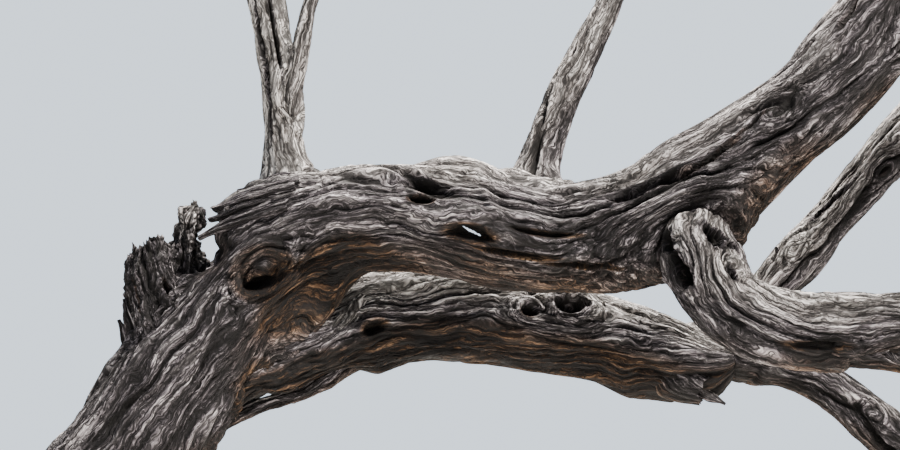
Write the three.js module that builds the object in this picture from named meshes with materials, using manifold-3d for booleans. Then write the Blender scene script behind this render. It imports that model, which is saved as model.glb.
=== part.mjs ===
// A dead, weathered savanna tree: a leaning trunk that splits into arching boughs, bare to the twigs.
// Millimetres, +Z up, +X to the right of the viewer, -Y towards the viewer.
// The origin is the middle of the flat cut under the trunk, at ground level.
import * as THREE from "three";
import { mergeVertices } from "three/addons/utils/BufferGeometryUtils.js";
import Module from "manifold-3d";

const wasm = await Module();
wasm.setup();

// Driving dimensions
const FACE_GAP = 0.3; // clearance where one piece butts on the next
const SEAT_GAP = 0.5; // clearance between a limb and the limb that it grows out of
const ROPED_SIDES = 36; // enough for four faces on each rope of the trunk
const TRUNK_SIDES = 14;
const BOUGH_SIDES = 10;
const BRANCH_SIDES = 7;
const LENGTH_STEPS = 200; // steps that the length along a heart is measured in
const END_SHARE = 1e-6; // a point this near either end of a limb lies on its end face
const TOWARDS_VIEWER = new THREE.Vector3(0, -1, 0);

// Root flare: buttress roots that spread the foot of the trunk
const ROOTS = [
  [5, 0.4, 0.14], // how many swell round the foot, where they start, and how far each stands out
  [3, 2.1, 0.1],
];
const ROOT_HEIGHT = 560; // height at which the roots have run out into the trunk

// Ropes: the grain of the trunk stands out in long twisted ropes, which run out below the crotch
const ROPE_COUNT = 9;
const ROPE_HEIGHT = 0.12; // from groove to crest, as a share of the trunk's radius
const ROPE_TWIST = 0.0006; // radians that a rope turns in a millimetre along the trunk
const ROPE_SWAY = 0.55;
const ROPE_SWAY_RUN = 230;
const ROPE_UNEVEN = 0.7;
const ROPE_FADE = [1850, 2250]; // lengths along the heart between which the ropes run out

// Gnarl: slow swellings round and along every limb, as shares of its radius
const GNARL_OVAL = 0.05;
const GNARL_LOBES = 0.035;
const GNARL_RINGS = 0.03;
const OVAL_RUN = 170;
const LOBE_RUN = 120;
const RING_RUN = 95;

// Wander: the heart of a limb strays from its line, more and more towards the tip
const WANDER = 44;
const WANDER_SHARE = 0.04; // and no more than this share of the line's length
const WANDER_FROM = 0.5; // share of the line where it begins
const WANDER_RUNS = [100, 145];

// Twigs: the seeded rule that every bare mass grows by
const TWIG_LEVELS = 2;
const TWIG_STEPS = [3, 2, 1]; // bends and tip of a stem, of its twigs and of theirs
const TWIGS_ON = [4, 2]; // twigs on a stem, and on each twig of the stem
const TWIG_SIDES = [4, 3, 3];
const TWIG_SHORTER = 0.7;
const TWIG_THINNER = 0.5;
const TWIG_TAPER = 0.45;
const TWIG_WOBBLE = 0.42;
const TWIG_LEAST_ANGLE = 0.5;
const TWIG_ANGLE_SPAN = 0.55;
const GOLDEN_ANGLE = 2.39996;
const STEM_SHARE = 0.92; // a mass's stem against the tip that it grows on
const SPACE_MARGIN = 12; // least distance between a twig and another mass's space
const LIMB_CLEARANCE = 14;

// Colours of the sun-bleached wood
const WOOD = { color: 0x8b827a, roughness: 0.9, metalness: 0 };
const TWIG = { color: 0x8f867d, roughness: 0.92, metalness: 0 };

// The limbs. Each station of a line is [x, y, z, radius] on the limb's heart.
const MAIN_LINE = [
  [-15, 0, -150, 300],
  [20, 0, 250, 235],
  [120, -10, 700, 200],
  [300, -10, 1170, 182],
  [600, 0, 1680, 166],
  [820, 0, 2010, 150],
  [1070, 0, 2172, 143],
  [1335, 0, 2170, 140],
  [1610, 0, 2132, 138],
  [1870, 0, 2185, 150],
  [2190, 30, 2435, 119],
  [2460, 70, 2700, 118],
  [2960, 80, 3200, 88],
  [3300, 130, 3650, 58],
  [3480, 240, 4060, 30],
];
const CROTCH_SHARE = 4.75 / 14; // where the trunk ends and the upper bough begins
const RISE_SHARE = 8.6 / 14; // where the upper bough ends and the rising bough begins

const TWISTED_LINE = [
  [1945, -40, 2170, 116],
  [1950, -100, 2085, 106],
  [1975, -140, 2000, 96],
  [2040, -175, 1925, 88],
  [2180, -205, 1880, 77],
  [2330, -230, 1882, 73],
  [2490, -260, 1930, 65],
  [2700, -330, 2090, 52],
  [2880, -450, 2400, 30],
];
const CURL_SHARE = 5.4 / 8; // where the twisted bough ends and the curling bough begins

const LINES = {
  trunk: { line: MAIN_LINE, to: CROTCH_SHARE, sides: ROPED_SIDES, rings: 26, seed: 1 },
  upper_bough: {
    line: MAIN_LINE,
    from: CROTCH_SHARE,
    to: RISE_SHARE,
    sides: TRUNK_SIDES,
    rings: 14,
    seed: 1,
  },
  rising_bough: { line: MAIN_LINE, from: RISE_SHARE, sides: TRUNK_SIDES, rings: 16, seed: 1 },
  lower_bough: {
    line: [
      [660, 60, 1715, 128],
      [955, 120, 1850, 116],
      [1285, 180, 1942, 101],
      [1640, 210, 1912, 96],
      [1855, 215, 1862, 102],
      [2060, 205, 1872, 76],
    ],
    sides: BOUGH_SIDES,
    rings: 16,
    seed: 2,
    on: ["trunk", "upper_bough"],
  },
  twisted_bough: {
    line: TWISTED_LINE,
    to: CURL_SHARE,
    sides: BOUGH_SIDES,
    rings: 16,
    seed: 3,
    on: ["upper_bough", "rising_bough"],
  },
  curling_bough: { line: TWISTED_LINE, from: CURL_SHARE, sides: BOUGH_SIDES, rings: 10, seed: 3 },
  back_bough: {
    line: [
      [2040, 210, 1870, 82],
      [2165, 260, 2035, 66],
      [2305, 310, 2200, 62],
      [2500, 380, 2420, 68],
      [2800, 520, 2740, 50],
      [3020, 740, 3100, 27],
    ],
    sides: BOUGH_SIDES,
    rings: 16,
    seed: 4,
    on: ["lower_bough"],
  },
  drooping_bough: {
    line: [
      [2040, 205, 1862, 66],
      [2160, 200, 1818, 50],
      [2260, 190, 1785, 57],
      [2435, 170, 1650, 60],
      [2700, 200, 1400, 48],
      [2990, 260, 1270, 36],
      [3300, 330, 1360, 23],
    ],
    sides: BOUGH_SIDES,
    rings: 20,
    seed: 5,
    on: ["lower_bough", "back_bough"],
  },
  left_stem: {
    line: [
      [925, 10, 2250, 68],
      [920, 20, 2425, 50],
      [900, 25, 2555, 46],
      [870, 35, 2735, 44],
      [800, 60, 3080, 33],
      [790, 110, 3400, 22],
    ],
    sides: BRANCH_SIDES,
    rings: 14,
    seed: 6,
    on: ["upper_bough"],
  },
  right_stem: {
    line: [
      [932, -10, 2420, 32],
      [965, -20, 2610, 24],
      [985, -20, 2725, 19],
      [1060, -10, 3000, 13],
    ],
    sides: BRANCH_SIDES,
    rings: 9,
    seed: 7,
    on: ["left_stem"],
  },
  upright_bough: {
    line: [
      [1525, 55, 2190, 66],
      [1575, 80, 2385, 49],
      [1740, 140, 2750, 42],
      [1880, 220, 3130, 32],
      [1960, 320, 3500, 21],
    ],
    sides: BRANCH_SIDES,
    rings: 13,
    seed: 8,
    on: ["upper_bough"],
  },
  outer_bough: {
    line: [
      [3060, 80, 3260, 62],
      [3250, 30, 3380, 50],
      [3560, -90, 3620, 40],
      [3860, -220, 3900, 26],
    ],
    sides: BRANCH_SIDES,
    rings: 12,
    seed: 9,
    on: ["rising_bough"],
  },
  front_bough: {
    line: [
      [2660, 70, 2840, 56],
      [2760, -110, 2960, 44],
      [2900, -380, 3180, 34],
      [3050, -640, 3460, 22],
    ],
    sides: BRANCH_SIDES,
    rings: 12,
    seed: 10,
    on: ["rising_bough"],
  },
  high_bough: {
    line: [
      [2880, 80, 3060, 56],
      [2870, 150, 3260, 44],
      [2780, 260, 3560, 34],
      [2640, 350, 3880, 23],
    ],
    sides: BRANCH_SIDES,
    rings: 12,
    seed: 11,
    on: ["rising_bough"],
  },
  back_fork: {
    line: [
      [2600, 430, 2530, 46],
      [2780, 480, 2610, 36],
      [3060, 570, 2780, 28],
      [3380, 670, 3010, 19],
    ],
    sides: BRANCH_SIDES,
    rings: 11,
    seed: 12,
    on: ["back_bough"],
  },
  low_fork: {
    line: [
      [2290, -225, 1865, 60],
      [2460, -250, 1805, 43],
      [2800, -380, 1750, 33],
      [3130, -550, 1850, 22],
    ],
    sides: BRANCH_SIDES,
    rings: 12,
    seed: 13,
    on: ["twisted_bough", "curling_bough"],
  },
  stem_side: {
    line: [
      [820, 50, 2960, 30],
      [740, -20, 3070, 24],
      [630, -140, 3250, 15],
    ],
    sides: BRANCH_SIDES,
    rings: 9,
    seed: 14,
    on: ["left_stem"],
  },
  upright_fork: {
    line: [
      [1845, 200, 3040, 30],
      [1780, 120, 3180, 24],
      [1690, 10, 3370, 15],
    ],
    sides: BRANCH_SIDES,
    rings: 9,
    seed: 15,
    on: ["upright_bough"],
  },
  stem_back: {
    line: [
      [845, 42, 2840, 32],
      [880, 130, 2960, 24],
      [960, 290, 3190, 15],
    ],
    sides: BRANCH_SIDES,
    rings: 7,
    seed: 22,
    on: ["left_stem"],
  },
  upright_side: {
    line: [
      [1785, 165, 2870, 30],
      [1870, 90, 3000, 24],
      [2040, 0, 3230, 15],
    ],
    sides: BRANCH_SIDES,
    rings: 7,
    seed: 23,
    on: ["upright_bough"],
  },
  back_side: {
    line: [
      [2680, 465, 2620, 42],
      [2670, 600, 2740, 32],
      [2590, 850, 3020, 19],
    ],
    sides: BRANCH_SIDES,
    rings: 8,
    seed: 24,
    on: ["back_bough", "back_fork"],
  },
  outer_side: {
    line: [
      [3460, -50, 3540, 34],
      [3640, 60, 3600, 27],
      [3930, 230, 3760, 16],
    ],
    sides: BRANCH_SIDES,
    rings: 7,
    seed: 25,
    on: ["outer_bough"],
  },
  // The broken pieces keep a jagged end: jag is how far its longest splinter stands out.
  snapped_shoulder: {
    line: [
      [1040, -5, 2180, 114],
      [930, -10, 2185, 104],
      [850, -15, 2170, 82],
      [785, -20, 2152, 52],
    ],
    sides: BOUGH_SIDES,
    rings: 7,
    seed: 16,
    on: ["trunk", "upper_bough", "left_stem"],
    jag: 40,
  },
  hollow_stub: {
    line: [
      [690, -10, 1830, 122],
      [630, 0, 1925, 104],
      [594, 5, 2005, 84],
      [582, 5, 2060, 66],
    ],
    sides: BOUGH_SIDES,
    rings: 7,
    seed: 17,
    on: ["trunk", "upper_bough", "snapped_shoulder"],
    jag: 60,
  },
  gnarled_knob: {
    line: [
      [700, -5, 1950, 60],
      [686, 0, 2050, 42],
      [678, 5, 2100, 31],
      [680, 5, 2152, 42],
      [704, 5, 2188, 26],
    ],
    sides: BRANCH_SIDES,
    rings: 10,
    seed: 18,
    on: ["trunk", "upper_bough", "snapped_shoulder", "hollow_stub"],
    jag: 12,
  },
  snapped_stub: {
    line: [
      [1850, 195, 1835, 84],
      [1915, 185, 1798, 62],
      [1965, 178, 1772, 46],
    ],
    sides: BRANCH_SIDES,
    rings: 5,
    seed: 19,
    on: ["lower_bough"],
    jag: 30,
  },
  underside_strip: {
    line: [
      [700, 30, 1640, 40],
      [795, 45, 1684, 28],
      [895, 75, 1722, 20],
      [985, 95, 1758, 23],
      [1090, 130, 1812, 28],
    ],
    sides: BRANCH_SIDES,
    rings: 9,
    seed: 20,
    on: ["trunk", "lower_bough"],
  },
  snapped_prong: {
    line: [
      [2720, 205, 1395, 42],
      [2820, 150, 1240, 28],
      [2960, 40, 1060, 21],
      [3060, -20, 930, 14],
    ],
    sides: BRANCH_SIDES,
    rings: 8,
    seed: 21,
    on: ["drooping_bough"],
    jag: 45,
  },
};

// The bare masses: the limb whose tip each grows on, how far it reaches, and its seed.
const MASSES = {
  twigs_top: { on: "rising_bough", reach: 760, seed: 51 },
  twigs_outer: { on: "outer_bough", reach: 700, seed: 32 },
  twigs_outer_side: { on: "outer_side", reach: 560, seed: 33 },
  twigs_front: { on: "front_bough", reach: 680, seed: 34 },
  twigs_high: { on: "high_bough", reach: 680, seed: 35 },
  twigs_back: { on: "back_bough", reach: 720, seed: 36 },
  twigs_back_fork: { on: "back_fork", reach: 620, seed: 37 },
  twigs_back_side: { on: "back_side", reach: 600, seed: 38 },
  twigs_curling: { on: "curling_bough", reach: 720, seed: 39 },
  twigs_low_fork: { on: "low_fork", reach: 600, seed: 40 },
  twigs_drooping: { on: "drooping_bough", reach: 620, seed: 41 },
  twigs_left_stem: { on: "left_stem", reach: 620, seed: 42 },
  twigs_stem_side: { on: "stem_side", reach: 480, seed: 43 },
  twigs_stem_back: { on: "stem_back", reach: 480, seed: 44 },
  twigs_right_stem: { on: "right_stem", reach: 520, seed: 45 },
  twigs_upright: { on: "upright_bough", reach: 640, seed: 46 },
  twigs_upright_fork: { on: "upright_fork", reach: 520, seed: 47 },
  twigs_upright_side: { on: "upright_side", reach: 500, seed: 48 },
};

// A seeded source of numbers from 0 to 1, so that the tree grows the same way each time.
function seeded(seed) {
  let state = (seed * 0x9e3779b1) >>> 0;
  return () => {
    state = (state + 0x6d2b79f5) >>> 0;
    let mixed = Math.imul(state ^ (state >>> 15), state | 1);
    mixed ^= mixed + Math.imul(mixed ^ (mixed >>> 7), mixed | 61);
    return ((mixed ^ (mixed >>> 14)) >>> 0) / 4294967296;
  };
}

// The heart of a limb: a smooth curve through its stations, with the radius eased between them.
function heartOf({ line, seed }) {
  const curve = new THREE.CatmullRomCurve3(line.map(([x, y, z]) => new THREE.Vector3(x, y, z)));
  const random = seeded(seed);
  const phases = Array.from({ length: 5 }, () => random() * 2 * Math.PI);
  const lengths = curve.getLengths(LENGTH_STEPS);
  const wander = Math.min(WANDER, WANDER_SHARE * lengths[LENGTH_STEPS]);
  return {
    point(t) {
      const { facing, side } = this.frame(t);
      const late = Math.max(0, (t - WANDER_FROM) / (1 - WANDER_FROM));
      const [across, forth] = WANDER_RUNS.map((run, i) => Math.sin(this.along(t) / run + phases[3 + i]));
      return curve
        .getPoint(t)
        .addScaledVector(side, wander * late * late * across)
        .addScaledVector(facing, wander * late * late * forth);
    },
    along(t) {
      const place = Math.min(t * LENGTH_STEPS, LENGTH_STEPS - 0.001);
      const step = Math.floor(place);
      return THREE.MathUtils.lerp(lengths[step], lengths[step + 1], place - step);
    },
    radius(t) {
      const place = Math.min(t, 0.99999) * (line.length - 1);
      const station = Math.floor(place);
      const ease = place - station;
      const share = ease * ease * (3 - 2 * ease);
      return line[station][3] * (1 - share) + line[station + 1][3] * share;
    },
    // A frame across the limb: facing looks at the viewer, and side is a right angle to it.
    frame(t) {
      const tangent = curve.getTangent(t);
      const facing = TOWARDS_VIEWER.clone()
        .addScaledVector(tangent, -TOWARDS_VIEWER.dot(tangent))
        .normalize();
      return { tangent, facing, side: facing.clone().cross(tangent) };
    },
    gnarl(t, angle) {
      const s = this.along(t);
      return (
        GNARL_OVAL * Math.sin(2 * angle + s / OVAL_RUN + phases[0]) +
        GNARL_LOBES * Math.sin(3 * angle - s / LOBE_RUN + phases[1]) +
        GNARL_RINGS * Math.sin(s / RING_RUN + phases[2])
      );
    },
    // Round ropes with sharp grooves between them: below zero in a groove and above it on a crest.
    ropes(t, angle) {
      const s = this.along(t);
      const sway = ROPE_SWAY * Math.sin(s / ROPE_SWAY_RUN + phases[0]);
      const uneven = ROPE_UNEVEN * Math.sin(2 * angle + phases[1]);
      const crest = Math.abs(Math.sin((ROPE_COUNT / 2) * (angle + ROPE_TWIST * s) + sway + uneven));
      return ROPE_HEIGHT * (crest - 0.5) * (1 - THREE.MathUtils.smoothstep(s, ...ROPE_FADE));
    },
  };
}

// Buttress roots swell the foot of the trunk and fade out at ROOT_HEIGHT.
function rootSwell(height, angle) {
  const fade = Math.max(0, 1 - height / ROOT_HEIGHT);
  const lobes = ROOTS.map(([count, start, spread]) => spread * Math.cos(count * angle + start));
  return fade * fade * lobes.reduce((sum, lobe) => sum + lobe);
}

// A closed, tapering limb: a cylinder that is bent along the heart and swollen by the gnarl.
function limbGeometry(limb, grow = 0) {
  const { from = 0, to = 1, sides, rings, jag = 0, seed } = limb;
  const heart = heartOf(limb);
  const random = seeded(seed + 100);
  const splinters = Array.from({ length: sides }, () => random());
  const geometry = new THREE.CylinderGeometry(1, 1, 1, sides, rings);
  const position = geometry.getAttribute("position");
  for (let i = 0; i < position.count; i++) {
    const share = position.getY(i) + 0.5;
    const t = from + (to - from) * share;
    const across = Math.hypot(position.getX(i), position.getZ(i));
    const angle = Math.atan2(position.getZ(i), position.getX(i));
    const centre = heart.point(t);
    const { tangent, facing, side } = heart.frame(t);
    let swell = 1 + heart.gnarl(t, angle);
    if (limb === LINES.trunk) swell += rootSwell(centre.z, angle) + heart.ropes(t, angle);
    const radius = (heart.radius(t) * swell + grow) * across;
    // An end that butts on the next limb of the same line stands half a gap back.
    // Growth moves both ends out.
    const first = share < END_SHARE;
    const last = share > 1 - END_SHARE;
    let slide = 0;
    if (first) slide = (from > 0 ? FACE_GAP / 2 : 0) - grow;
    if (last) slide = (to < 1 ? -FACE_GAP / 2 : 0) + grow;
    if (last && jag && across > 0.5) {
      const tooth = Math.round((angle / (2 * Math.PI)) * sides + sides) % sides;
      slide += jag * splinters[tooth];
    }
    const place = centre
      .addScaledVector(tangent, slide)
      .addScaledVector(facing, radius * Math.cos(angle))
      .addScaledVector(side, radius * Math.sin(angle));
    position.setXYZ(i, place.x, place.y, place.z);
  }
  return geometry;
}

// A three.js geometry as a solid that can be joined and cut.
function solidOf(geometry) {
  const bare = geometry.clone();
  bare.deleteAttribute("normal");
  bare.deleteAttribute("uv");
  const merged = mergeVertices(bare, 1e-3);
  return new wasm.Manifold(
    new wasm.Mesh({
      numProp: 3,
      vertProperties: merged.getAttribute("position").array,
      triVerts: new Uint32Array(merged.index.array),
    }),
  );
}

// A solid as a named mesh.
function meshOf(name, solid, finish) {
  const { vertProperties, triVerts } = solid.getMesh();
  const geometry = new THREE.BufferGeometry();
  geometry.setAttribute("position", new THREE.BufferAttribute(vertProperties, 3));
  geometry.setIndex(new THREE.BufferAttribute(triVerts, 1));
  geometry.computeVertexNormals();
  const mesh = new THREE.Mesh(geometry, new THREE.MeshStandardMaterial(finish));
  mesh.name = name;
  return mesh;
}

// The largest body of a solid: a cut can leave a loose scrap, which is dropped.
function mainBody(solid) {
  return solid.decompose().reduce((best, body) => (body.volume() > best.volume() ? body : best));
}

// A limb, cut clear of the limbs that it grows from.
function limbSolid(name) {
  const limb = LINES[name];
  let solid = solidOf(limbGeometry(limb));
  for (const parent of limb.on ?? []) {
    solid = solid.subtract(solidOf(limbGeometry(LINES[parent], SEAT_GAP)));
  }
  if (name === "trunk") solid = solid.trimByPlane([0, 0, 1], 0);
  return mainBody(solid);
}

// Where the tip of a limb is, which way it points and how thick it is.
function tipOf(name) {
  const heart = heartOf(LINES[name]);
  return { point: heart.point(1), heading: heart.frame(1).tangent, radius: heart.radius(1) };
}

// The middle of the space that a mass keeps to.
function middleOf({ on, reach }) {
  const { point, heading } = tipOf(on);
  return point.clone().addScaledVector(heading, reach * 0.6);
}

const MIDDLES = Object.fromEntries(Object.entries(MASSES).map(([name, mass]) => [name, middleOf(mass)]));

// Points along every limb, with their radii, that twigs keep clear of.
const LIMB_POINTS = Object.values(LINES).flatMap((limb) => {
  const { from = 0, to = 1 } = limb;
  const heart = heartOf(limb);
  return Array.from({ length: 25 }, (_, i) => {
    const t = from + ((to - from) * i) / 24;
    return { limb, last: i >= 22, centre: heart.point(t), radius: heart.radius(t) };
  });
});

// True where a point lies in the mass's own space and clear of every limb.
function isFree(name, point, radius) {
  const mass = MASSES[name];
  const own = point.distanceTo(MIDDLES[name]);
  if (own > mass.reach) return false;
  for (const [other, middle] of Object.entries(MIDDLES)) {
    if (other !== name && point.distanceTo(middle) < own + 2 * (SPACE_MARGIN + radius)) return false;
  }
  return LIMB_POINTS.every(
    ({ limb, last, centre, radius: thick }) =>
      (limb === LINES[mass.on] && last) || point.distanceTo(centre) > thick + radius + LIMB_CLEARANCE,
  );
}

// A heading turned by an angle towards a direction round it.
function turned(heading, angle, round) {
  const helper = Math.abs(heading.z) < 0.9 ? new THREE.Vector3(0, 0, 1) : new THREE.Vector3(1, 0, 0);
  const a = helper.cross(heading).normalize();
  const b = heading.clone().cross(a);
  return heading
    .clone()
    .multiplyScalar(Math.cos(angle))
    .addScaledVector(a, Math.sin(angle) * Math.cos(round))
    .addScaledVector(b, Math.sin(angle) * Math.sin(round))
    .normalize();
}

// Grows a twig and the twigs on it, and adds each to found.
function growTwig(name, start, heading, length, radius, level, random, found) {
  const steps = TWIG_STEPS[level];
  const points = [start.clone()];
  let way = heading;
  for (let step = 0; step < steps; step++) {
    if (step) way = turned(way, TWIG_WOBBLE * random(), 2 * Math.PI * random());
    points.push(points[step].clone().addScaledVector(way, length / steps));
  }
  if (level && !points.slice(1).every((point) => isFree(name, point, radius))) return;
  found.push({ points, radius, level });
  if (level === TWIG_LEVELS) return;
  const count = TWIGS_ON[level];
  for (let i = 0; i < count; i++) {
    const share = 0.3 + (0.66 * (i + random())) / count;
    const place = share * steps;
    const joint = Math.floor(place);
    const root = points[joint].clone().lerp(points[joint + 1], place - joint);
    const along = points[joint + 1].clone().sub(points[joint]).normalize();
    const angle = TWIG_LEAST_ANGLE + TWIG_ANGLE_SPAN * random();
    const twigHeading = turned(along, angle, GOLDEN_ANGLE * i + random());
    const shorter = TWIG_SHORTER * (1.15 - 0.5 * share);
    growTwig(name, root, twigHeading, length * shorter, radius * TWIG_THINNER, level + 1, random, found);
  }
}

// One twig as a closed solid: a thin cylinder bent at its joints.
function twigSolid({ points, radius, level }) {
  const steps = TWIG_STEPS[level];
  const geometry = new THREE.CylinderGeometry(1, 1, 1, TWIG_SIDES[level], steps);
  const position = geometry.getAttribute("position");
  for (let i = 0; i < position.count; i++) {
    const share = position.getY(i) + 0.5;
    const joint = Math.round(share * steps);
    const before = points[Math.max(joint - 1, 0)];
    const after = points[Math.min(joint + 1, steps)];
    const tangent = after.clone().sub(before).normalize();
    const facing = turned(tangent, Math.PI / 2, 0);
    const side = facing.clone().cross(tangent);
    const thick = radius * (1 - (1 - TWIG_TAPER) * share);
    const place = points[joint]
      .clone()
      .addScaledVector(facing, thick * position.getX(i))
      .addScaledVector(side, thick * position.getZ(i));
    position.setXYZ(i, place.x, place.y, place.z);
  }
  return solidOf(geometry);
}

// A bare mass: all the twigs that grow from one stem, fused into one solid.
function massSolid(name) {
  const { on, reach, seed } = MASSES[name];
  const { point, heading, radius } = tipOf(on);
  const found = [];
  const start = point.addScaledVector(heading, FACE_GAP);
  growTwig(name, start, heading, reach, radius * STEM_SHARE, 0, seeded(seed), found);
  const joined = found.map(twigSolid).reduce((whole, twig) => whole.add(twig));
  return mainBody(joined);
}

const tree = new THREE.Group();
tree.name = "dead_tree";
for (const name of Object.keys(LINES)) tree.add(meshOf(name, limbSolid(name), WOOD));
for (const name of Object.keys(MASSES)) tree.add(meshOf(name, massSolid(name), TWIG));

export default tree;
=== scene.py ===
import itertools
import math

import bpy
import numpy as np
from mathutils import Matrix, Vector


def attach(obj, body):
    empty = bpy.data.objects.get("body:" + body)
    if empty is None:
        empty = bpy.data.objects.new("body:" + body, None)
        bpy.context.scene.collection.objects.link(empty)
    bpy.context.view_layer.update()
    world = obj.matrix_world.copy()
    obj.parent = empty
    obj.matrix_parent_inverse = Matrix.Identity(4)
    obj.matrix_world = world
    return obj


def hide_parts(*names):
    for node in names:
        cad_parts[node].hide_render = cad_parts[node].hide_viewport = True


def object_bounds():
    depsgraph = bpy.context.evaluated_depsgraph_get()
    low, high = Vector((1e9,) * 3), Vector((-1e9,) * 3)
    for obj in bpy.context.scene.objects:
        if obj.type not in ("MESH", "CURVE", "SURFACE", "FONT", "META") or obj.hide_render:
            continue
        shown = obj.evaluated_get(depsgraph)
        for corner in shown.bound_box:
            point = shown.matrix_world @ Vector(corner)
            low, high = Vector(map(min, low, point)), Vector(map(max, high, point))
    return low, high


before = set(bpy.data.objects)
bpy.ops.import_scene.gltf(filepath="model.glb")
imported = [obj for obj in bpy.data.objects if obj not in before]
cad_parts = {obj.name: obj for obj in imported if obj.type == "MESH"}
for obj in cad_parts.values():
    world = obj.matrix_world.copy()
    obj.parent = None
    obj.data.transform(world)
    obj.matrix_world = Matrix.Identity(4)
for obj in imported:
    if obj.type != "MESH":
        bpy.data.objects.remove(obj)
cad_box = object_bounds()

# The camera stands low in front of the tree and looks slightly up at the boughs.
# A long lens keeps them nearly flat, as from a car at a distance.
VIEW_TARGET = Vector((1.335, 0.0, 2.160))
VIEW_DISTANCE = 12.0
VIEW_TILT = math.radians(6)
VIEW_LENS = 192

forward = Vector((0, math.cos(VIEW_TILT), math.sin(VIEW_TILT)))
bpy.ops.object.camera_add(location=VIEW_TARGET - forward * VIEW_DISTANCE)
camera = bpy.context.object
camera.rotation_euler = forward.to_track_quat("-Z", "Y").to_euler()
camera.data.lens = VIEW_LENS
bpy.context.scene.camera = camera

# The main stem: trunk, upper bough and rising bough are one bent limb, thickest at the root flare.
# Dead hardwood without its bark. Sun and rain have opened the grain into strands and long cracks.
# Each piece is a sheet rolled round the heart line of its limb, with the weathering pressed into it.
MM = 0.001

# The plain limb, drawn by the same rule as its solid: how it bends, swells, flares and twists.
LENGTH_STEPS = 200
WANDER = 44
WANDER_SHARE = 0.04
WANDER_FROM = 0.5
WANDER_RUNS = (100, 145)
GNARL_OVAL, GNARL_LOBES, GNARL_RINGS = 0.05, 0.035, 0.03
OVAL_RUN, LOBE_RUN, RING_RUN = 170, 120, 95
ROOTS = [(5, 0.4, 0.14), (3, 2.1, 0.1)]
ROOT_HEIGHT = 560
ROPE_COUNT = 9
ROPE_HEIGHT = 0.12
ROPE_TWIST = 0.0006
ROPE_SWAY = 0.55
ROPE_SWAY_RUN = 230
ROPE_UNEVEN = 0.7
ROPE_FADE = (1850, 2250)

# The sheet round a limb: how its foot is found, and how deep a tucked end lies.
FOOT_HIGHEST, FOOT_ROUNDS = 0.1, 30
TUCK = 0.8

# A broken end: the rows of its rotted cup, how the cup narrows and darkens inwards, dark with rot and with
# painted shade, and its splinters.
CUP_ROWS = 14
CUP_NARROWS, CUP_LIP, CUP_FLOOR = 0.75, 0.12, 0.5
CUP_DARKENS = (0.04, 0.4)
SPLINTERS_FROM = 0.45
FINE_SPLINTERS = ((5, 1.0), (12, 0.5))
FINE_SPLINTER_SHARE = 0.45

# The grain: how it waves along the limb, parts at a knot and rings round it. It and the relief are full
# size on a thick limb, and finer on a thin one.
STEM_GIRTH = 150
FULL_PATTERN_RADIUS, PATTERN_POWER = 130, 0.55
FULL_RELIEF_RADIUS, RELIEF_POWER = 125, 0.75
GRAIN_STRETCH = 0.075
GRAIN_WAVES = [(34, 150, 300), (13, 60, 105), (6, 32, 46)]
PARTING_LENGTH, PARTING_CORE = 1.7, 0.8
RING_DEPTH, RING_REACH, RING_LENGTH = 1.2, 1.15, 1.3

# The weathering: how wide and how high its strands, peeled layers, cracks and swellings are, and how ragged
# and how dark its pits, plates and crumbled edges. These darks are painted shade: in the grooves between
# strands, in cracks, on pit floors, which are also dark with rot, and under the edges of plates and
# crumbled layers.
STRAND_SIZES = (64, 27, 12)
STRAND_HEIGHTS = (15, 10, 5)
STRAND_CREST_TONE = (0.2, 0.35, 0.45)
STRAND_STEEP = 2.8
STRAND_MIDDLE = 0.7
PEEL_SIZE, PEEL_LAYERS, PEEL_HEIGHT = 150, 2.6, 9
LEDGE_RISE = (0.75, 1.0)
CRACK_SIZE, CRACK_WIDTH, CRACK_DEPTH = 100, 0.075, 30
CRACK_RUN, CRACK_OPENS = 240, 0.35
CRACK_SHADE, CRACK_DARK = 0.7, 0.85
ROPE_GROOVE_SHADE = 0.6
SWELLING_SIZE, SWELLING_HEIGHT = 190, 13
PIT_RAGGED, PIT_TOOTH, LEAST_TOOTH = 0.3, 0.25, 5
PIT_WALL, PIT_DARKENS, PIT_SHADE_REACH = (0.5, 1.0), (0.6, 0.98), (0.9, 1.5)
PIT_DARK = 0.95
LIP_HEIGHT, LIP_PLACE, LIP_WIDTH, LIP_DEEPEST = 0.08, 1.15, 0.15, 60
LUMP_CLEARS_ROT_AND_SHADE, LUMP_CLEARS_PIT_SHADE = 0.8, 0.9
PLATE_RAGGED, PLATE_TOOTH, PLATE_BOW = 0.45, 0.6, 0.5
PLATE_EDGE, PLATE_SIDE, PLATE_SINKS_FROM = (-2, 3), (0.7, 1.0), 0.3
SHADOW_PLACE, SHADOW_WIDTH = 7, 6
SHADOW_DIMS_CREST, PLATE_SHADOW_DARK, CRUMB_SHADOW_DARK = 0.8, 0.7, 0.6
CRUMB_LAYERS, CRUMB_EDGE, CRUMB_EDGE_WIDTH = 2.5, 0.7, 0.12
BLEACH_SIZE, BLEACH_CHANGE = 160, 0.5

# Each pattern has a seed of its own, that is added to its limb's.
TEETH_SEED = 100
GRAIN_SEED, STRAND_SEED, PEEL_SEED, CRACK_SEED, SWELLING_SEED = 11, 21, 31, 41, 51
PIT_SEED, PLATE_SEED, BLEACH_SEED, CRUMB_SEED = 61, 65, 71, 91


def seeded(seed):
    """A seeded source of numbers from 0 to 1, the same one that the solids grow by."""
    state = (seed * 0x9E3779B1) & 0xFFFFFFFF

    def draw():
        nonlocal state
        state = (state + 0x6D2B79F5) & 0xFFFFFFFF
        mixed = ((state ^ (state >> 15)) * (state | 1)) & 0xFFFFFFFF
        mixed ^= (mixed + (mixed ^ (mixed >> 7)) * (mixed | 61)) & 0xFFFFFFFF
        return (mixed ^ (mixed >> 14)) / 4294967296

    return draw


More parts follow.
